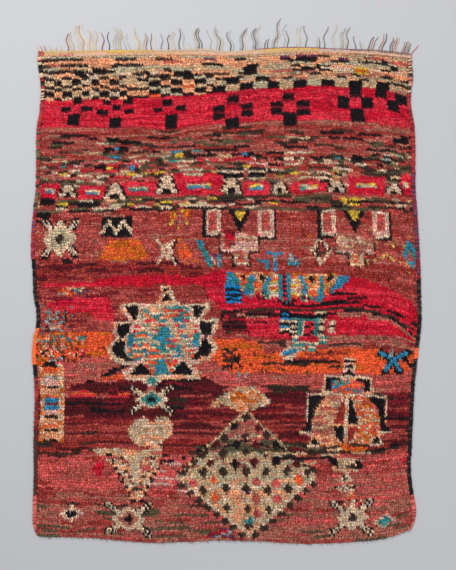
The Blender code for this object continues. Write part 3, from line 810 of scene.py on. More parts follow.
# Striped parts of the zigzag band and the comb below it: yarns that take turns by row, top row, row below,
# first column and column past the last
COMB = (
    ("sky black", 91, 98, 91, 99),
    ("teal blue", 86, 97, 117, 119),
    ("crimson black", 86, 97, 119, 121),
    ("teal blue", 86, 97, 121, 123),
    ("cream orange yellow sage", 87, 96, 114, 117),
    ("orange cream sage yellow", 87, 96, 123, 126),
    ("sky black", 100, 105, 117, 122),
    ("cream black blue cream black", 105, 110, 117, 122),
    ("brick red teal black teal", 100, 105, 122, 134),
    ("brick sand cream black cream", 100, 105, 134, 140),
    ("cream black", 105, 111, 122, 126),
    ("cream", 105, 111, 128, 129),
    ("red red black", 105, 111, 129, 132),
    ("red black red", 105, 111, 132, 134),
    ("sage black cream", 105, 111, 136, 139),
    ("red red brick", 105, 111, 139, 141),
    ("cream cream black", 105, 110, 141, 144),
    ("teal", 104, 112, 126, 128),
    ("teal", 104, 112, 134, 136),
    ("red crimson sage red", 111, 115, 127, 137),
    ("cream teal", 111, 115, 124, 127),
    ("teal cream", 111, 114, 137, 141),
    ("teal cream", 114, 117, 126, 131),
    ("teal cream", 114, 117, 132, 136),
)

# Rungs of the ladder on the left: top row, row below, yarn
LADDER = (
    (122, 123, "black"),
    (123, 125, "orange"),
    (125, 126, "peach"),
    (126, 127, "ash"),
    (127, 130, "pink"),
    (130, 131, "black"),
    (131, 134, "peach"),
    (134, 135, "orange"),
    (135, 137, "blue"),
    (137, 138, "wine"),
    (138, 140, "blue"),
    (140, 142, "pink"),
    (142, 143, "black"),
    (143, 146, "peach"),
    (146, 147, "orange"),
    (147, 148, "peach"),
    (148, 149, "black"),
    (149, 152, "peach"),
    (152, 153, "black"),
)
LADDER_SIDES = (1, 3, 10, 13)
LADDER_GROUND = ("cream peach cream amber", 2)

# Lattice of lozenges: top, left, bottom and right corners, and its ground by rows
LATTICE = ((103.4, 140.4), (69.4, 166.6), (104.4, 190.2), (138.4, 166.2))
LATTICE_GROUNDS = (
    (140, 152, "dusty sand dusty sage rose dusty"),
    (152, 157, "bark olive dusty black olive"),
    (157, 165, "sage sand dusty sage sand"),
    (165, 191, "sand peach sand cream pink sage peach"),
)
LATTICE_RUN = 5
LATTICE_KEEP = 0.5

# Its lozenges: first row, steps across and down, number along a side, chance in their places, and how far
# the lowest is above the corner
LATTICE_TOP = 143.4
LATTICE_STEP = (5.2, 3.55)
LATTICE_COUNT = 7
LATTICE_CHANCE = (0.5, 0.4)
LATTICE_EYE = 6.0

# Reach of a lozenge across and along, the yarns of the upper and the lower ones, how they take turns along
# each diagonal, and yarn and half depth of the edges
LOZENGE = (2.5, 2.1)
UPPER_YARNS = "bark black bark maroon"
LOWER_YARNS = "bark salmon bark rose bark peach bark orange"
LATTICE_TURNS = (3, 5)
LOWER_EDGE = ("cream", 0.6)
UPPER_EDGE = ("sand", 0.4)

# Rows of dark teeth: yarn, how many, reach of one across and along, and the first and last middle
TEETH = (
    ("bark", 8, 2.6, 1.5, (71.4, 169.6), (101.0, 189.8)),
    ("bark", 8, 2.6, 1.5, (137.0, 169.4), (107.8, 189.8)),
    ("bark", 5, 2.2, 1.3, (71.0, 164.6), (84.0, 156.0)),
    ("bark", 5, 2.2, 1.3, (137.0, 164.2), (125.0, 156.0)),
    ("black", 8, 1.3, 0.9, (35.5, 158.5), (47.5, 175.5)),
    ("black", 8, 1.3, 0.9, (63.5, 158.5), (51.5, 175.5)),
    ("bark", 6, 1.1, 0.8, (41.5, 159.5), (48.5, 171.5)),
    ("bark", 6, 1.1, 0.8, (57.5, 159.5), (50.5, 171.5)),
)


def from_screen(shade):
    """A shade from 0 to 255 as linear light."""
    share = np.asarray(shade, float) / 255
    return np.where(share <= 0.04045, share / 12.92, ((share + 0.055) / 1.055) ** 2.4)


def stretch_at(table, place):
    """What a table says of the stretch that a place is in, each row with the stretch's end first."""
    number = bisect.bisect_left([row[0] for row in table], place)
    return table[min(number, len(table) - 1)][1]


def dyed(yarns, depth, chance):
    """Linear colour of a yarn drawn by chance from a few, with chance in the depth of its dye."""
    yarns = yarns.split()
    shade = from_screen(YARNS[yarns[chance.integers(len(yarns))]])
    return shade * math.exp(chance.normal(0.0, depth))


def lumps(x, y, size, seed):
    """A gentle unevenness from -1 to 1, smooth over about the given size."""
    total = np.zeros(np.shape(x))
    chance = np.random.default_rng(seed)
    for _ in range(LUMP_WAVES):
        bearing, phase = chance.uniform(0, 2 * np.pi, 2)
        length = size * chance.uniform(*LUMP_LENGTHS)
        along = x * np.cos(bearing) + y * np.sin(bearing)
        total += np.sin(along * 2 * np.pi / length + phase)
    return total / LUMP_WAVES**0.5 / LUMP_PEAK


def chance_at(x, chance):
    """A number from about -0.5 to 0.5 that depends on the place across the rug alone."""
    pace, place = chance
    return noise.noise(Vector((x * pace, place, 0.0)))


def node_points(name):
    """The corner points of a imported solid."""
    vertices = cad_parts[name].data.vertices
    points = np.empty(len(vertices) * 3)
    vertices.foreach_get("co", points)
    return points.reshape(-1, 3)


class Plan:
    """The outline of the knotted field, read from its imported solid, and the run of its rows."""

    def __init__(self):
        points = node_points("rug_field")
        on_floor = points[points[:, 2] < TINY, :2]
        ring = np.unique(np.round(on_floor, 5), axis=0)
        wide, long = np.ptp(ring, axis=0)
        slant = ring[:, 0] / wide + ring[:, 1] / long
        cross = ring[:, 0] / wide - ring[:, 1] / long
        bearing = np.arctan2(ring[:, 1], ring[:, 0])
        bottom_left, top_right = bearing[slant.argmin()], bearing[slant.argmax()]
        bottom_right, top_left = bearing[cross.argmax()], bearing[cross.argmin()]
        self.bottom = self.side(ring, (bearing >= bottom_left) & (bearing <= bottom_right), 0)
        self.right = self.side(ring, (bearing >= bottom_right) & (bearing <= top_right), 1)
        self.top = self.side(ring, (bearing >= top_right) & (bearing <= top_left), 0)
        self.left = self.side(ring, (bearing >= top_left) | (bearing <= bottom_left), 1)
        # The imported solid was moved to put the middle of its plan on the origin
        corner = np.array((self.bottom[0, 0], self.bottom[:, 1].min()))
        self.shift = corner - FIELD_CORNER

    @staticmethod
    def side(ring, chosen, axis):
        """The points of one side in their order along it."""
        chain = ring[chosen]
        return chain[chain[:, axis].argsort()]

    def across(self, u, y):
        """Place across the rug at a share u of the field's width."""
        left = np.interp(y, self.left[:, 1], self.left[:, 0])
        right = np.interp(y, self.right[:, 1], self.right[:, 0])
        return left + (right - left) * u

    def along(self, u, row):
        """Place along the rug of a row, at a share u of the field's width."""
        ends = []
        for chain in (self.top, self.bottom):
            x = chain[0, 0] + (chain[-1, 0] - chain[0, 0]) * u
            ends.append(np.interp(x, chain[:, 0], chain[:, 1]))
        numbers = np.array([0, *(number for number, _ in ROW_GUIDES), ROWS])
        middle = [np.interp(u, STATIONS, levels) + self.shift[1] for _, levels in ROW_GUIDES]
        levels = np.array([ends[0], *middle, ends[1]])
        k = np.clip(np.searchsorted(numbers, row, side="right") - 1, 0, len(numbers) - 2)
        share = (row - numbers[k]) / (numbers[k + 1] - numbers[k])
        here = np.arange(len(u))
        return levels[k, here] * (1 - share) + levels[k + 1, here] * share

    def place(self, column, row):
        """Places across and along the rug of whole arrays of columns and rows."""
        column, row = np.broadcast_arrays(np.asarray(column, float), np.asarray(row, float))
        shape = column.shape
        column, row = column.ravel(), row.ravel()
        wave = sum(
            depth * lumps(column * KNOT_WIDTH, row * stretch, size, seed)
            for depth, size, stretch, seed in ROW_WAVES
        )
        inner = np.minimum(np.minimum(row, ROWS - row) / WAVE_EDGE, 1.0)
        u = column / COLUMNS
        y = self.along(u, row + inner * wave)
        return self.across(u, y).reshape(shape), y.reshape(shape)


class Chart:
    """The yarn of every knot, painted from the grounds to the motifs on them."""

    def __init__(self):
        self.ink = np.full((ROWS, COLUMNS), INKS["madder"])
        self.row, self.column = np.mgrid[0:ROWS, 0:COLUMNS] + 0.5
        self.random = np.random.default_rng(PATTERN_SEED)

    def box(self, top, low, first=0, past=COLUMNS):
        """The knots of a rectangle."""
        rows = (self.row > top) & (self.row < low)
        return rows & (self.column > first) & (self.column < past)

    def inside(self, corners):
        """The knots whose middles lie within an outline."""
        found = np.zeros(self.ink.shape, bool)
        for (column, row), (next_column, next_row) in zip(corners, (*corners[1:], corners[0])):
            if row == next_row:
                continue
            crosses = (row > self.row) != (next_row > self.row)
            edge = column + (self.row - row) * (next_column - column) / (next_row - row)
            found ^= crosses & (self.column < edge)
        return found

    def both_sides(self, middle, half):
        """The knots of a shape's left half, and then of its right half, whose outline is given."""
        for side in (-1, 1):
            yield self.inside([(middle + side * aside, row) for aside, row in half])

    def courses(self, where, yarns, run, keep=0.0):
        """Fills knots with runs of yarns drawn by chance, row by row.

        A row keeps to its first yarn by the chance of keep, and a single yarn simply fills the knots.
        """
        yarns = [INKS[yarn] for yarn in yarns.split()]
        if len(yarns) == 1:
            self.ink[where] = yarns[0]
            return
        for row in np.flatnonzero(where.any(axis=1)):
            favourite = yarns[self.random.integers(len(yarns))]
            column = -int(self.random.integers(run + 1))
            while column < COLUMNS:
                length = 1 + int(self.random.poisson(max(run - 1, 0)))
                part = slice(max(column, 0), column + length)
                if part.stop > 0:
                    other = yarns[self.random.integers(len(yarns))]
                    yarn = favourite if self.random.random() < keep else other
                    self.ink[row, part][where[row, part]] = yarn
                column += length

    def block(self, yarns, top, low, first, past):
        """A rectangle of knots whose yarns take turns by row."""
        yarns = yarns.split()
        for row in range(top, min(low, ROWS)):
            self.ink[row, first:past] = INKS[yarns[(row - top) % len(yarns)]]

    def scatter(self, yarns, count, shortest, longest, top, low, first, past):
        """Single courses at places drawn by chance, on every second row."""
        for yarn in self.random.choice(yarns.split(), count):
            row = top + 2 * self.random.integers((low - top + 1) // 2)
            column = self.random.integers(first - shortest // 2, past)
            length = self.random.integers(shortest, longest + 1)
            self.ink[row, max(column, first) : min(column + length, past)] = INKS[yarn]

    def speckle(self, yarn, count, top, low, first, past):
        """Single knots at places drawn by chance."""
        rows = self.random.integers(top, low, count)
        columns = self.random.integers(first, past, count)
        self.ink[rows, columns] = INKS[yarn]

    def checker(self, top, low, first, past, wide, tall, share, yarns):
        """Black squares that take turns with light ones, like bricks of courses."""
        yarns = yarns.split()
        for down in range(round((low - top) / tall)):
            for across in range(math.ceil((past - first) / wide)):
                start, level = first + across * wide, top + down * tall
                end = min(start + wide, past)
                brick = self.box(level, top + (down + 1) * tall, start, end)
                light = yarns[self.random.integers(len(yarns))]
                dark = (down + across) % 2 == 0 and self.random.random() < share
                self.ink[brick] = INKS["black" if dark else light]

    def striped_square(self, column, row, stripe):
        """A black square of the red band with thin stripes."""
        wide, tall = CROSS_SQUARE
        square = (np.abs(self.column - column) < wide / 2) & (np.abs(self.row - row) < tall / 2)
        self.ink[square] = INKS["black"]
        self.ink[square & (self.row.astype(int) % STRIPE_PITCH == 1)] = INKS[stripe]

    def panel(self, first, past, top, low):
        """A red panel with a light course and a blue one in its middle."""
        self.courses(self.box(top, low, first, past), *PANEL_GROUND)
        middle, inset = (top + low) // 2, (past - first) // PANEL_PARTS
        for row, yarns, run in PANEL_COURSES:
            course = self.box(middle + row, middle + row + 1, first + inset, past - inset)
            self.courses(course, yarns, run)

    def streak(self, yarn, half, points):
        """The knots near a bent line."""
        for start, end in zip(points, points[1:]):
            along, down = (end[0] - start[0]) * KNOT_WIDTH, end[1] - start[1]
            x, y = (self.column - start[0]) * KNOT_WIDTH, self.row - start[1]
            share = np.clip((x * along + y * down) / (along**2 + down**2), 0, 1)
            far = np.hypot(x - share * along, y - share * down)
            self.ink[far < half] = INKS[yarn]

    def star(self, column, row, reach, tall, body, *yarns):
        """A lozenge with a forked arm at each corner of the square round it."""
        across = np.abs(self.column - column) / reach
        along = np.abs(self.row - row) / tall
        far = np.maximum(across, along)
        for half, start, end, yarn in STAR_ARMS:
            arm = (np.abs(across - along) < half) & (far > start) & (far < end)
            self.ink[arm] = INKS[yarns[yarn]]
        for size, yarn in STAR_LOZENGES:
            self.ink[(across + along) / body < size] = INKS[yarns[yarn]]

    def ring(self, column, row, reach, tall, outer, middle):
        """A lozenge inside a lozenge."""
        far = np.abs(self.column - column) / reach + np.abs(self.row - row) / tall
        self.courses(far < 1, outer, 1)
        self.courses(far < RING_MIDDLE, middle, 2)

    def tree(self, column, top, low):
        """Cream steps that widen downwards on black, and end in two feet."""
        far = np.abs(self.column - column)
        for row in range(top, low):
            half = TREE_TOP + TREE_SPREAD * (row - top)
            stepped = far < half * (1.0 if (row - top) % 2 else TREE_STEP)
            if low - row <= FOOT_ROWS:
                stepped = (far > half - FOOT_WIDTH) & (far < half)
            self.ink[self.box(row, row + 1) & (far < half + 1)] = INKS["black"]
            self.ink[self.box(row, row + 1) & stepped] = INKS["cream"]

    def cross(self, column, top):
        """A white stepped cross: two upright arms with a notch between them, a wide body and a foot."""
        far, down = np.abs(self.column - column), self.row - top
        for least, most, first, last, run, keep, yarns in CROSS_PARTS:
            part = (far > least) & (far < most) & (down > first) & (down < last)
            self.courses(part, yarns, run, keep)
        for half, narrowing, yarn in CROSS_NOTCH:
            self.ink[(far < half - down * narrowing) & (down > 0)] = INKS[yarn]

    def medallion(self, middle, outline, wedges):
        """A cream form with the same steps on both sides and black wedges inside."""
        whole = ((0.0, outline[0][1]), *outline, (0.0, outline[-1][1]))
        for half in self.both_sides(middle, whole):
            self.courses(half, *MEDALLION_GROUND)
        for wedge in wedges:
            for half in self.both_sides(middle, wedge):
                self.ink[half] = INKS["black"]

    def first_medallion(self):
        """Its inside has bright and light rows in turn, with blue leaves on them."""
        self.medallion(FIRST_MIDDLE, FIRST_OUTLINE, FIRST_WEDGES)
        for bright, light, top, low, half in FIRST_INSIDE:
            inside = self.box(top, low) & (np.abs(self.column - FIRST_MIDDLE) < half)
            inside &= self.ink != INKS["black"]
            self.courses(inside & (self.row % 2 < 1), bright, BRIGHT_RUN)
            self.courses(inside & (self.row % 2 > 1), light, LIGHT_RUN)
        for leaf in FIRST_LEAVES:
            for half in self.both_sides(FIRST_MIDDLE, leaf):
                self.courses(half, *LEAF_YARNS)

    def second_medallion(self):
        """It holds a coloured lobe on each side, a speckled cap, and four long wedges round its spine."""
        self.medallion(SECOND_MIDDLE, SECOND_OUTLINE, SECOND_WEDGES)
        for lobe, (yarns, run) in zip(self.both_sides(SECOND_MIDDLE, SECOND_LOBE), LOBE_YARNS):
            self.courses(lobe & (self.ink != INKS["black"]), yarns, run)
        left, right = self.both_sides(SECOND_MIDDLE, SECOND_CAP)
        self.courses(left | right, *CAP_YARNS)
        left, right = self.both_sides(SECOND_MIDDLE, SECOND_SPINE)
        self.courses(left | right, *SPINE_YARNS)
        for side, yarn, top, low, wide, widens in LONG_WEDGES:
            fallen = np.clip((self.row - top) / (low - top), 0, 1)
            reach = wide * (fallen if widens else 1 - fallen) ** WEDGE_ROUND
            aside = (self.column - SECOND_MIDDLE) * side - WEDGE_GAP
            wedge = (aside > 0) & (aside < np.maximum(reach, WEDGE_LEAST))
            self.ink[self.box(top, low) & wedge] = INKS[yarn]
        self.courses(self.inside(SECOND_FOOT), *FOOT_YARNS)

    def ladder(self):
        """Rungs between two sides."""
        left, inner_left, inner_right, right = LADDER_SIDES
        self.courses(self.box(LADDER[0][0], LADDER[-1][1], left, right), *LADDER_GROUND)
        for top, low, yarn in LADDER:
            self.block(yarn, top, low, inner_left, inner_right)

    def lozenge(self, column, row, yarn, reach=LOZENGE):
        """A small lozenge of one yarn."""
        near = np.abs(self.column - column) / reach[0] + np.abs(self.row - row) / reach[1] < 1
        self.ink[near] = INKS[yarn]

    def lattice(self):
        """A large lozenge of small ones, which step down both of its diagonals."""
        field = self.inside(LATTICE)
        for top, low, yarns in LATTICE_GROUNDS:
            self.courses(field & self.box(top, low), yarns, LATTICE_RUN, LATTICE_KEEP)
        top_corner, left, low_corner, right = LATTICE
        across, down = LATTICE_STEP
        for i in range(LATTICE_COUNT):
            for j in range(LATTICE_COUNT):
                column = top_corner[0] + (i - j) * across + self.random.normal(0, LATTICE_CHANCE[0])
                row = LATTICE_TOP + (i + j) * down + self.random.normal(0, LATTICE_CHANCE[1])
                yarns = (UPPER_YARNS if i + j < LATTICE_COUNT - 1 else LOWER_YARNS).split()
                turn = i * LATTICE_TURNS[0] + j * LATTICE_TURNS[1]
                self.lozenge(column, row, yarns[turn % len(yarns)])
        self.streak(*LOWER_EDGE, (left, low_corner, right))
        self.streak(*UPPER_EDGE, (left, top_corner, right))
        self.lozenge(low_corner[0], low_corner[1] - LATTICE_EYE, "teal")

    def teeth(self, yarn, count, across, along, first, last):
        """Small lozenges along a line."""
        for column, row in np.linspace(first, last, count):
            self.lozenge(column, row, yarn, (across, along))


def draw_rug():
    """Paints the whole rug, from its grounds to the finest marks."""
    chart = Chart()
    for top, low, run, keep, yarns in BANDS:
        chart.courses(chart.box(top, low), yarns, run, keep)
    for yarns, run, *corners in PATCHES:
        chart.courses(chart.inside(corners), yarns, run, PATCH_KEEP)
    for row in SCATTER:
        chart.scatter(*row)
    for row in CHECKERS:
        chart.checker(*row)
    for yarns, *boxes in BOXES:
        for box in boxes:
            chart.block(yarns, *box)
    for square in CROSS_SQUARES:
        chart.striped_square(*square)
    for panel in PANELS:
        chart.panel(*panel)
    for tree in TREES:
        chart.tree(*tree)
    for row in SPECKLES:
        chart.speckle(*row)
    for cross in CROSSES:
        chart.cross(*cross)
    chart.ladder()
    chart.lattice()
    chart.first_medallion()
    chart.second_medallion()
    for yarns, run, *corners in SHAPES:
        chart.courses(chart.inside(corners), yarns, run)
    for row in TEETH:
        chart.teeth(*row)
    for row in COMB:
        chart.block(*row)
    for yarn, half, *points in STREAKS:
        chart.streak(yarn, half, points)
    for star in STARS:
        chart.star(*star)
    for ring in RINGS:
        chart.ring(*ring)
    return chart


def knot_colours(chart):
    """Linear colour of every knot: its yarn, uneven dye along the rows, and a little chance in each."""
    chance = np.random.default_rng(DYE_SEED)
    shades = from_screen(np.array(list(YARNS.values())))[chart.ink]
    depth = chance.normal(0.0, KNOT_DEPTH, chart.ink.shape)
    streak = chance.normal(0.0, ROW_DEPTH, (ROWS, COLUMNS // ROW_STRETCH + 2))
    at = np.arange(COLUMNS) / ROW_STRETCH
    low = at.astype(int)
    streak = streak[:, low] * (1 - at + low) + streak[:, low + 1] * (at - low)
    warmth = chance.normal(0.0, WARMTH, chart.ink.shape)
    shades = shades * PILE_SHADE * np.exp(np.minimum(depth + streak, BRIGHTEST))[..., None]
    shades *= np.exp(warmth[..., None] * WARM_SIDE)
    return np.clip(shades, DARKEST, 1.0)


def shape_mesh(name, points, faces, colours, uv, material, smooth=True):
    """A mesh object from arrays: its faces are grouped by their number of corners.

    Each point has a colour and a place in the map, and the piece rides on the one body.
    """
    mesh = bpy.data.meshes.new(name)
    corners = np.concatenate([group.ravel() for group in faces]).astype(np.int32)
    sizes = np.concatenate([np.full(len(group), group.shape[1]) for group in faces])
    starts = np.concatenate([[0], np.cumsum(sizes)[:-1]]).astype(np.int32)
    mesh.vertices.add(points.size // 3)
    mesh.vertices.foreach_set("co", points.astype(np.float32).ravel())
    mesh.loops.add(len(corners))
    mesh.loops.foreach_set("vertex_index", corners)
    mesh.polygons.add(len(sizes))
    mesh.polygons.foreach_set("loop_start", starts)
    mesh.update(calc_edges=True)
    mesh.validate()
    if smooth:
        mesh.shade_smooth()
    layer = mesh.color_attributes.new("wool", "FLOAT_COLOR", "POINT")
    layer.data.foreach_set("color", colours.astype(np.float32).ravel())
    sheet = mesh.uv_layers.new(name="OFBake")
    sheet.uv.foreach_set("vector", uv.reshape(-1, 2)[corners].astype(np.float32).ravel())
    mesh.materials.append(material)
    piece = bpy.data.objects.new(name, mesh)
    bpy.context.scene.collection.objects.link(piece)
    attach(piece, "root")
    return piece


def with_alpha(colour, alpha):
    """Colours with the height in the pile or the twist as their fourth number, which sets their painted
    shade.
    """
    return np.concatenate([colour, np.broadcast_to(alpha, (*colour.shape[:-1], 1))], axis=-1)


def make_pile(plan, colours, material):
    """Every knot as its two cut ends of yarn, which lean down the rug and swell below their tips."""
    chance = np.random.default_rng(TUFT_SEED)
    row, column, end = np.mgrid[0:ROWS, 0:COLUMNS, 0:2].reshape(3, -1)
    number = len(row)
    x, y = plan.place(column + np.array(END_PLACES)[end], row + 0.5)
    x_left, _ = plan.place(column, row + 0.5)
    x_right, _ = plan.place(column + 1, row + 0.5)
    _, y_above = plan.place(column + 0.5, row)
    _, y_below = plan.place(column + 0.5, row + 1)
    wide, deep = x_right - x_left, y_above - y_below
    grow = 1 + chance.normal(0.0, TUFT_SPREAD, number)
    lift = TIP_LUMP * lumps(x, y, *PILE_LUMPS) + chance.normal(0.0, TIP_SPREAD, number)
    side_lean = chance.normal(0.0, SIDE_LEAN, number) * wide
    down_lean = chance.normal(0.0, DOWN_LEAN, number) * deep
    turn = chance.uniform(0, 2 * np.pi, number)
    root = ROOT_RADIUS * grow
    filled = np.where(row < OPEN_ROWS, OPEN_SHARE, 1.0)
    rings = (
        (0.0, ROOT_FORWARD, ROOT_HEIGHT, root, root, 0.0),
        (BELLY_BEND, BELLY_FORWARD, BELLY_HEIGHT, BELLY_WIDE * wide * grow,
         BELLY_DEEP * (deep * filled) * grow, BELLY_TILT),
    )
    points = np.empty((number, TUFT_POINTS, 3))
    for level, (bend, forward, height, spread_x, spread_y, tilt) in enumerate(rings):
        for corner in range(3):
            angle = turn + corner * 2 * np.pi / 3
            points[:, 3 * level + corner] = np.stack([
                x + side_lean * bend + np.cos(angle) * spread_x,
                y + forward * deep + down_lean * bend + np.sin(angle) * spread_y,
                height + lift * bend + np.sin(angle) * spread_y * tilt,
            ], axis=1)
    tip_y = y + TIP_FORWARD * deep + down_lean
    points[:, -1] = np.stack([x + side_lean, tip_y, TIP_HEIGHT + lift], axis=1)
    field = node_points("rug_field")[:, 0]
    points[..., 0] = np.clip(points[..., 0], field.min() - EDGE_REACH, field.max() + EDGE_REACH)
    depth = np.minimum(chance.normal(0.0, END_DEPTH, number), BRIGHTEST)
    shade = colours[row, column] * np.exp(depth)[:, None]
    shade *= np.exp(chance.normal(0.0, END_WARMTH, number)[:, None] * WARM_SIDE)
    pieces = []
    for part in range(PILE_PIECES):
        chosen = row * PILE_PIECES // ROWS == part
        pieces.append(join_tufts(f"knotted_pile_{part + 1}", points[chosen], shade[chosen], material))
    return pieces


def join_tufts(name, points, shade, material):
    """One mesh from the tufts of a stretch of rows."""
    cell = np.arange(len(points))[:, None]
    base = cell[..., None] * TUFT_POINTS
    faces = ((TUFT_QUADS + base).reshape(-1, 4), (TUFT_TRIANGLES + base).reshape(-1, 3))
    # The height of each point up its tuft rides with its colour and sets the painted shade at the root
    colour = with_alpha(np.broadcast_to(shade[:, None], points.shape), TUFT_RISE[:, None])
    side = math.ceil(len(points) ** 0.5)
    uv = np.stack([
        (cell % side + TUFT_ASIDE) / side,
        (cell // side + MAP_EDGE + (1 - 2 * MAP_EDGE) * TUFT_RISE) / side,
    ], axis=2)
    return shape_mesh(name, points, faces, colour, uv, material)


def two_faced(name, x, y, top, colours, uv, back_shift, material, smooth=True):
    """A closed thin cloth over a grid of places, with its underside flat on the floor.

    It has a colour for each place on its top and on its underside, whose map lies beside that of the top.
    """
    number = np.arange(x.size).reshape(x.shape)
    upper = np.stack([x, y, top], axis=2).reshape(-1, 3)
    corners = [number[:-1, :-1], number[:-1, 1:], number[1:, 1:], number[1:, :-1]]
    up = np.stack(corners, axis=2).reshape(-1, 4)
    ring = np.concatenate([number[0, :-1], number[:-1, -1], number[-1, :0:-1], number[:0:-1, 0]])
    if (y[1, 0] - y[0, 0]) * (x[0, 1] - x[0, 0]) < 0:
        up = up[:, TURNED_OVER]
        ring = ring[::-1]
    down = up[:, TURNED_OVER] + x.size
    after = np.roll(ring, -1)
    rim = np.stack([ring + x.size, after + x.size, after, ring], axis=1)
    points = np.concatenate([upper, upper * (1.0, 1.0, 0.0)])
    faces = (np.concatenate([up, down, rim]),)
    uv = uv.reshape(-1, 2)
    uv = np.concatenate([uv, uv + back_shift])
    return shape_mesh(name, points, faces, np.concatenate(colours), uv, material, smooth)


def make_ground(plan, colours, material):
    """The ground cloth of warp and weft with the knots' collars, one cell a knot on both faces."""
    column, row = np.meshgrid(np.arange(COLUMNS + 1), np.arange(ROWS + 1))
    x, y = plan.place(column, row)
    on_rim = (column == 0) | (column == COLUMNS) | (row == 0) | (row == ROWS)
    top = GROUND_TOP + GROUND_WAVE * lumps(x, y, *GROUND_LUMPS) - RIM_DROP * on_rim
    back = with_alpha(colours[np.clip(row, 0, ROWS - 1), np.clip(column, 0, COLUMNS - 1)], 1.0)
    # Painted shade between the tufts: the top of the cloth is darker than its underside
    front = back * (GROUND_PAINTED_SHADE, GROUND_PAINTED_SHADE, GROUND_PAINTED_SHADE, 1.0)
    uv = np.stack([column / MAP_COLUMNS, row / MAP_ROWS], axis=2)
    ground = two_faced("rug_foundation", x, y, top, (front, back), uv, (0.5, 0.0), material, False)
    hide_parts("rug_field")
    return ground


def tube_faces(rings, sides):
    """The quads between the rings of a tube, and its two caps."""
    side = np.arange(sides)
    start = (np.arange(rings - 1) * sides)[:, None]
    here, turned = start + side, start + (side + 1) % sides
    quads = np.stack([here, turned, turned + sides, here + sides], axis=2).reshape(-1, 4)
    return quads, np.array((side[::-1], side + (rings - 1) * sides))


def side_profile(name):
    """Stations along a side cord: place along the rug, its two sides and its height, from its solid."""
    points = node_points(name)
    rows = []
    for place in np.unique(np.round(points[:, 1], 4)):
        near = points[np.abs(points[:, 1] - place) < SAME_PLACE]
        if np.ptp(near[:, 0]) > TINY:
            rows.append((place, near[:, 0].min(), near[:, 0].max(), near[:, 2].max()))
    return np.array(rows).T


def make_cord(name, node, table, material):
    """A side cord wrapped with yarn: one slanting ridge for each turn of the wrapping."""
    chance = np.random.default_rng(CORD_SEED + len(name))
    place, *sides = side_profile(node)
    turns = int((place[-1] - place[0]) / WRAP_PITCH)
    stops = np.arange(turns * len(WRAP_RIDGE) + 1)
    y = place[0] + stops / stops[-1] * np.ptp(place)
    low, high, tall = (np.interp(y, place, side) for side in sides)
    ridge = np.array(WRAP_RIDGE)[stops % len(WRAP_RIDGE)]
    turn = stops // len(WRAP_RIDGE)
    shift = chance.normal(0.0, WRAP_SPREAD, turns + 1)[turn]
    wraps = [dyed(stretch_at(table, place), CORD_DEPTH, chance) for place in y[:: len(WRAP_RIDGE)]]
    angle = np.arange(CORD_SIDES) * 2 * np.pi / CORD_SIDES
    half = (high - low) / 2 * CORE_SHARE + ridge * RIDGE_ASIDE
    x = ((low + high) / 2 + shift)[:, None] + np.cos(angle) * half[:, None]
    z = (tall / 2)[:, None] + np.sin(angle) * (tall / 2 + ridge * RIDGE_ABOVE)[:, None]
    points = np.stack([x, y[:, None] + np.cos(angle) * WRAP_SLANT, np.maximum(z, 0.0)], axis=2)
    # Painted shade: darker in the grooves between the ridges of the wrapping
    depth = CORD_GROOVE_PAINTED_SHADE + (1 - CORD_GROOVE_PAINTED_SHADE) * ridge
    colour = np.broadcast_to(np.array(wraps)[turn][:, None], points.shape)
    colour = with_alpha(colour, depth[:, None, None])
    along = (y - y[0])[:, None] / CORD_MAP_LENGTH
    uv = np.stack(np.broadcast_arrays(np.arange(CORD_SIDES) / CORD_SIDES, along), axis=2)
    faces = tube_faces(len(y), CORD_SIDES)
    piece = shape_mesh(name, points, faces, colour, uv, material)
    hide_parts(node)
    return piece


class Heading:
    """The edges of the flat-woven heading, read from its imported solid."""

    def __init__(self):
        points = node_points("fringed_heading")
        crest = points[points[:, 2] > points[:, 2].max() - SAME_PLACE]
        places = np.unique(np.round(crest[:, 0], 4))
        near = [crest[np.abs(crest[:, 0] - x) < SAME_PLACE, 1] for x in places]
        whole = [k for k in range(len(places)) if np.ptp(near[k]) > HEADING_LEAST]
        self.x = places[whole]
        self.inner_y = np.array([near[k].min() for k in whole])
        self.outer_y = np.array([near[k].max() for k in whole]) + HEADING_BEVEL

    def inner(self, x):
        """Place of the edge at the pile."""
        return np.interp(x, self.x, self.inner_y)

    def outer(self, x):
        """Place of the edge at the fringe."""
        return np.interp(x, self.x, self.outer_y)


def make_heading(heading, material):
    """The weft-faced heading: ribs of thick weft that rise and dip over the warps."""
    chance = np.random.default_rng(HEADING_SEED)
    left, right = heading.x[0], heading.x[-1]
    steps = int((right - left) / WARP_PITCH) * 2
    lines = RIB_COUNT * 2
    across = left + (right - left) * np.arange(steps + 1) / steps
    x, share = np.meshgrid(across, np.arange(lines + 1) / lines)
    inner, outer = heading.inner(x), heading.outer(x)
    y = inner + (outer - inner) * share
    line, stop = np.mgrid[0 : lines + 1, 0 : steps + 1]
    rib = line % 2
    over = (stop + line // 2) % 2
    top = HEADING_LEVEL + RIB_RISE * rib * (1 - RIB_DIP + RIB_DIP * over)
    top += HEADING_WAVE * lumps(x, y, *HEADING_LUMPS)
    colour = np.empty((*x.shape, 3))
    for i in range(steps + 1):
        yarns = stretch_at(HEADING_YARNS, across[i] + chance.normal(0, YARN_EDGE_SPREAD))
        for j in range(lines + 1):
            rib_yarns = yarns[min(j * len(yarns) // lines, len(yarns) - 1)]
            colour[j, i] = dyed(rib_yarns, HEADING_DEPTH, chance) * HEADING_SHADE
    # Painted shade: darker in the grooves between ribs and where a rib dips between the warps
    depth = HEADING_GROOVE_PAINTED_SHADE + (1 - HEADING_GROOVE_PAINTED_SHADE) * rib * (1 - DIP_PAINTED_SHADE + DIP_PAINTED_SHADE * over)
    colour = with_alpha(colour, depth[..., None])
    uv = np.stack([x - x.min(), y - y.min()], axis=2) / np.ptp(x)
    piece = two_faced("heading_weave", x, y, top, (colour, colour), uv, (0.0, 0.5), material)
    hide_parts("fringed_heading")
    return piece


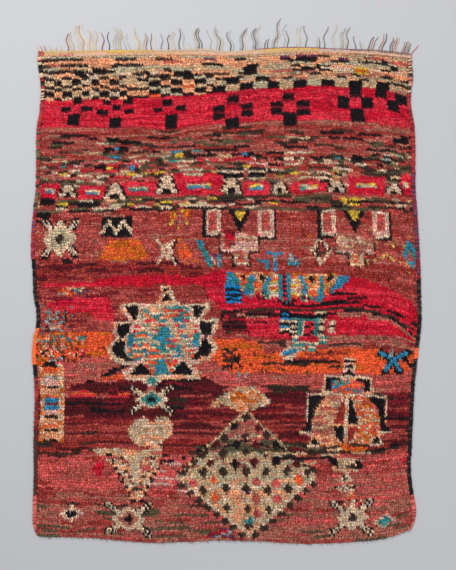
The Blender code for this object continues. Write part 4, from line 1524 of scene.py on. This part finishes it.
def twisted_yarn(route, radius, pitch, sides, taper=0.0):
    """Rings of points of a plied yarn along a route, and how high each is on the ridges of its twist."""
    ahead = np.gradient(route, axis=0)
    ahead /= np.linalg.norm(ahead, axis=1)[:, None]
    aside = np.cross(ahead, (0.0, 0.0, 1.0))
    aside /= np.linalg.norm(aside, axis=1)[:, None]
    above = np.cross(aside, ahead)
    travel = np.concatenate([[0], np.cumsum(np.linalg.norm(np.diff(route, axis=0), axis=1))])
    angle = np.arange(sides) * 2 * np.pi / sides
    twist = np.cos(PLIES * (angle - travel[:, None] * 2 * np.pi / pitch))
    size = radius * (1 - taper * (travel / travel[-1]) ** 2)[:, None] * (1 + RIDGE_DEPTH * twist)
    points = (
        route[:, None]
        + aside[:, None] * (np.cos(angle) * size)[..., None]
        + above[:, None] * (np.sin(angle) * size)[..., None]
    )
    points[..., 2] = np.maximum(points[..., 2], 0.0)
    return points, (1 + twist) / 2


def join_yarns(name, yarns, material):
    """One mesh from several yarns, each with its colour."""
    points, quads, caps, colours, uvs = [], [], [], [], []
    base = 0
    for k, (rings, ridge, shade) in enumerate(yarns):
        yarn_quads, yarn_caps = tube_faces(*ridge.shape)
        points.append(rings.reshape(-1, 3))
        quads.append(yarn_quads + base)
        caps.append(yarn_caps + base)
        # Painted shade: darker in the grooves between the ridges of the twist
        depth = YARN_GROOVE_PAINTED_SHADE + (1 - YARN_GROOVE_PAINTED_SHADE) * ridge.reshape(-1, 1)
        colours.append(with_alpha(np.broadcast_to(shade, (ridge.size, 3)), depth))
        along = np.arange(ridge.size) / ridge.size
        aside = MAP_EDGE + (1 - 2 * MAP_EDGE) * (along * MAP_TURNS % 1)
        uvs.append(np.stack([(k + aside) / len(yarns), along], axis=1))
        base += ridge.size
    points, quads, caps, colours, uvs = map(np.concatenate, (points, quads, caps, colours, uvs))
    return shape_mesh(name, points, (quads, caps), colours, uvs, material)


def strand_shift(x_root, reach, wave, bunch, t):
    """How far aside of its root a strand lies at shares t of its length. A bunch sways as one."""
    first, last, _, length, lean, gather = bunch
    middle, along = (first + last) / 2, t * reach
    aside = (lean + gather * (middle - x_root)) * (along / length) ** LEAN_POWER
    own = wave * np.sin(CHANCE_TURNS * chance_at(x_root, WAVE_CHANCE) + BENDS * t)
    shared = SWAY * np.sin(CHANCE_TURNS * chance_at(middle, SWAY_CHANCE) + BENDS * along / SWAY_LENGTH)
    return aside + own * np.minimum(t * 2, 1.0) + shared * np.minimum(along * 2 / SWAY_LENGTH, 1.0)


def make_fringe(heading, shift, material):
    """The loose warp ends, on the routes of their solids, each a yarn of two plies."""
    chance = np.random.default_rng(FRINGE_SEED)
    yarns = []
    for bunch in FRINGE:
        first, last, number, length, *_ = bunch
        pitch = (last - first) / max(number - 1, 1)
        for k in range(number):
            x_root = first + pitch * k
            x_root += pitch * ROOT_SHIFT_SHARE * chance_at(x_root, SHIFT_CHANCE)
            y_root = float(heading.outer(x_root + shift[0]))
            reach = length * (1 + LENGTH_SPREAD * chance_at(x_root, LENGTH_CHANCE))
            t = np.arange(int(reach / STRAND_STEP) + 2)
            t = t / t[-1]
            x = x_root + shift[0] + strand_shift(x_root, reach, pitch * WAVE_SHARE, bunch, t)
            y = y_root - STRAND_ROOT + (reach + STRAND_ROOT) * t
            radius = STRAND_RADIUS * math.exp(chance.normal(0.0, STRAND_SPREAD))
            route = np.stack([x, y, np.full(len(t), radius * STRAND_LIFT)], axis=1)
            shade = dyed(stretch_at(FRINGE_YARNS, x_root), STRAND_SPREAD, chance)
            yarns.append((*twisted_yarn(route, radius, STRAND_TWIST, STRAND_SIDES, STRAND_TAPER), shade))
    return join_yarns("warp_fringe", yarns, material)


def make_twine(heading, shift, material):
    """The twined yarn that locks the last weft along the heading's outer edge."""
    yarns = []
    for start, end, yarn in TWINE:
        x = np.append(np.arange(start, end, TWINE_PITCH / TWINE_STEPS), end) + shift[0]
        route = np.stack([x, heading.outer(x) - TWINE_INSET, np.full(len(x), TWINE_LEVEL)], axis=1)
        shade = from_screen(YARNS[yarn])
        yarns.append((*twisted_yarn(route, TWINE_RADIUS, TWINE_PITCH, TWINE_SIDES), shade))
    return join_yarns("edge_twine", yarns, material)


def feed(tree, node, inputs):
    """Sets a node's inputs, each to a constant or to what another node gives."""
    for name, value in inputs.items():
        if isinstance(value, bpy.types.NodeSocket):
            tree.links.new(value, node.inputs[name])
        else:
            node.inputs[name].default_value = value


def add_node(tree, kind, inputs, **settings):
    """A shader node with its settings and inputs."""
    node = tree.nodes.new("ShaderNode" + kind)
    for name, value in settings.items():
        setattr(node, name, value)
    feed(tree, node, inputs)
    return node


def calculate(tree, operation, *numbers):
    """The result of a sum with one or two numbers in a shader."""
    node = add_node(tree, "Math", dict(enumerate(numbers)), operation=operation)
    return node.outputs["Value"]


def new_material(name, roughness):
    """A matt material with its tree and its shader."""
    material = bpy.data.materials.new(name)
    material.use_nodes = True
    tree = material.node_tree
    shader = tree.nodes["Principled BSDF"]
    feed(tree, shader, {"Roughness": roughness, "Metallic": 0.0, "Specular IOR Level": SPECULAR})
    return material, tree, shader


def wool_material(name, wool, knotted_back=False):
    """Wool in the colour of each yarn, with painted shade at its root and in its grooves, with fibres and
    uneven dye.
    """
    root_painted_shade, grain, sheen = wool
    material, tree, shader = new_material(name, WOOL_ROUGHNESS)
    yarn = add_node(tree, "Attribute", {}, attribute_name="wool")
    place = add_node(tree, "TexCoord", {}).outputs["Object"]
    stretch = add_node(tree, "Mapping", {"Vector": place, "Scale": FIBRE_STRETCH})
    noises = add_node(tree, "TexNoise", {**FIBRE, "Vector": stretch.outputs["Vector"], "Scale": grain})
    fibre = noises.outputs["Fac"]
    # Painted shade: darker where the fourth number is low, at a tuft's root and in grooves
    depth = add_node(tree, "MapRange", {
        "Value": yarn.outputs["Alpha"], "To Min": root_painted_shade, "To Max": 1.0,
    })
    spread = add_node(tree, "MapRange", {**FIBRE_SPREAD, "Value": fibre})
    strength = calculate(tree, "MULTIPLY", depth.outputs["Result"], spread.outputs["Result"])
    tint = add_node(tree, "VectorMath", {"Vector": yarn.outputs["Color"], "Scale": strength},
                    operation="SCALE")
    normal = add_node(tree, "Bump", {**FIBRE_BUMP, "Height": fibre}).outputs["Normal"]
    if knotted_back:
        knots = add_node(tree, "Bump", {**COLLAR_BUMP, "Height": collars(tree), "Normal": normal})
        normal = knots.outputs["Normal"]
    feed(tree, shader, {
        "Base Color": tint.outputs["Vector"], "Normal": normal,
        "Sheen Weight": sheen, "Sheen Roughness": SHEEN_ROUGHNESS,
    })
    return material


def collars(tree):
    """A rounded bump for each knot's collar, from the count of columns and rows that the map holds."""
    flat = add_node(tree, "UVMap", {}, uv_map="OFBake").outputs["UV"]
    parts = add_node(tree, "SeparateXYZ", {"Vector": flat})
    waves = []
    for axis, count in (("X", MAP_COLUMNS), ("Y", MAP_ROWS)):
        turn = calculate(tree, "MULTIPLY", parts.outputs[axis], count * math.pi)
        waves.append(calculate(tree, "ABSOLUTE", calculate(tree, "SINE", turn)))
    return calculate(tree, "MULTIPLY", *waves)


def make_floor():
    """A plain pale floor."""
    half = FLOOR_SIZE / 2
    corners = [(x * half, y * half, FLOOR_LEVEL) for x, y in ((-1, -1), (1, -1), (1, 1), (-1, 1))]
    mesh = bpy.data.meshes.new("floor")
    mesh.from_pydata(corners, [], [(0, 1, 2, 3)])
    floor = bpy.data.objects.new("floor", mesh)
    bpy.context.scene.collection.objects.link(floor)
    material, tree, shader = new_material("floor_paint", FLOOR_ROUGHNESS)
    feed(tree, shader, {"Base Color": (*from_screen(FLOOR_SHADE), 1.0)})
    mesh.materials.append(material)


def make_lights():
    """Plain soft studio light: a wide key from beyond the fringe, a weaker fill, and a pale surround."""
    for name, place, size, power in LIGHTS:
        light = bpy.data.lights.new(name, "AREA")
        light.shape = "SQUARE"
        light.size = size
        light.energy = power
        lamp = bpy.data.objects.new(name, light)
        lamp.location = place
        lamp.rotation_mode = "QUATERNION"
        lamp.rotation_quaternion = (-Vector(place)).to_track_quat("-Z", "Y")
        bpy.context.scene.collection.objects.link(lamp)
    world = bpy.data.worlds.new("surround")
    world.use_nodes = True
    background = world.node_tree.nodes["Background"]
    feed(world.node_tree, background, {"Color": (1.0, 1.0, 1.0, 1.0), "Strength": SURROUND})
    bpy.context.scene.world = world


def make_camera(shift):
    """Straight above the rug, its top to the fringe, framed as wide as the picture shows."""
    lens = bpy.data.cameras.new("camera")
    lens.lens = LENS
    lens.sensor_width = SENSOR
    lens.clip_end = FARTHEST
    camera = bpy.data.objects.new("camera", lens)
    camera.location = (*(shift + VIEW_CENTRE), VIEW_LENGTH * LENS / SENSOR)
    bpy.context.scene.collection.objects.link(camera)
    bpy.context.scene.camera = camera


def main():
    """Dresses the rug and sets the stage."""
    bpy.context.scene.view_settings.view_transform = "Standard"
    plan = Plan()
    make_camera(plan.shift)
    heading = Heading()
    colours = knot_colours(draw_rug())
    pile_wool = wool_material("pile_wool", PILE_WOOL)
    ground_wool = wool_material("ground_wool", GROUND_WOOL, knotted_back=True)
    cord_wool = wool_material("cord_wool", CORD_WOOL)
    heading_wool = wool_material("heading_wool", HEADING_WOOL)
    ground = make_ground(plan, colours, ground_wool)
    others = [
        *make_pile(plan, colours, pile_wool),
        make_cord("overcast_left", "side_cord_left", LEFT_CORD, cord_wool),
        make_cord("overcast_right", "side_cord_right", RIGHT_CORD, cord_wool),
        make_heading(heading, heading_wool),
        make_twine(heading, plan.shift, heading_wool),
        make_fringe(heading, plan.shift, heading_wool),
    ]
    make_floor()
    make_lights()


main()
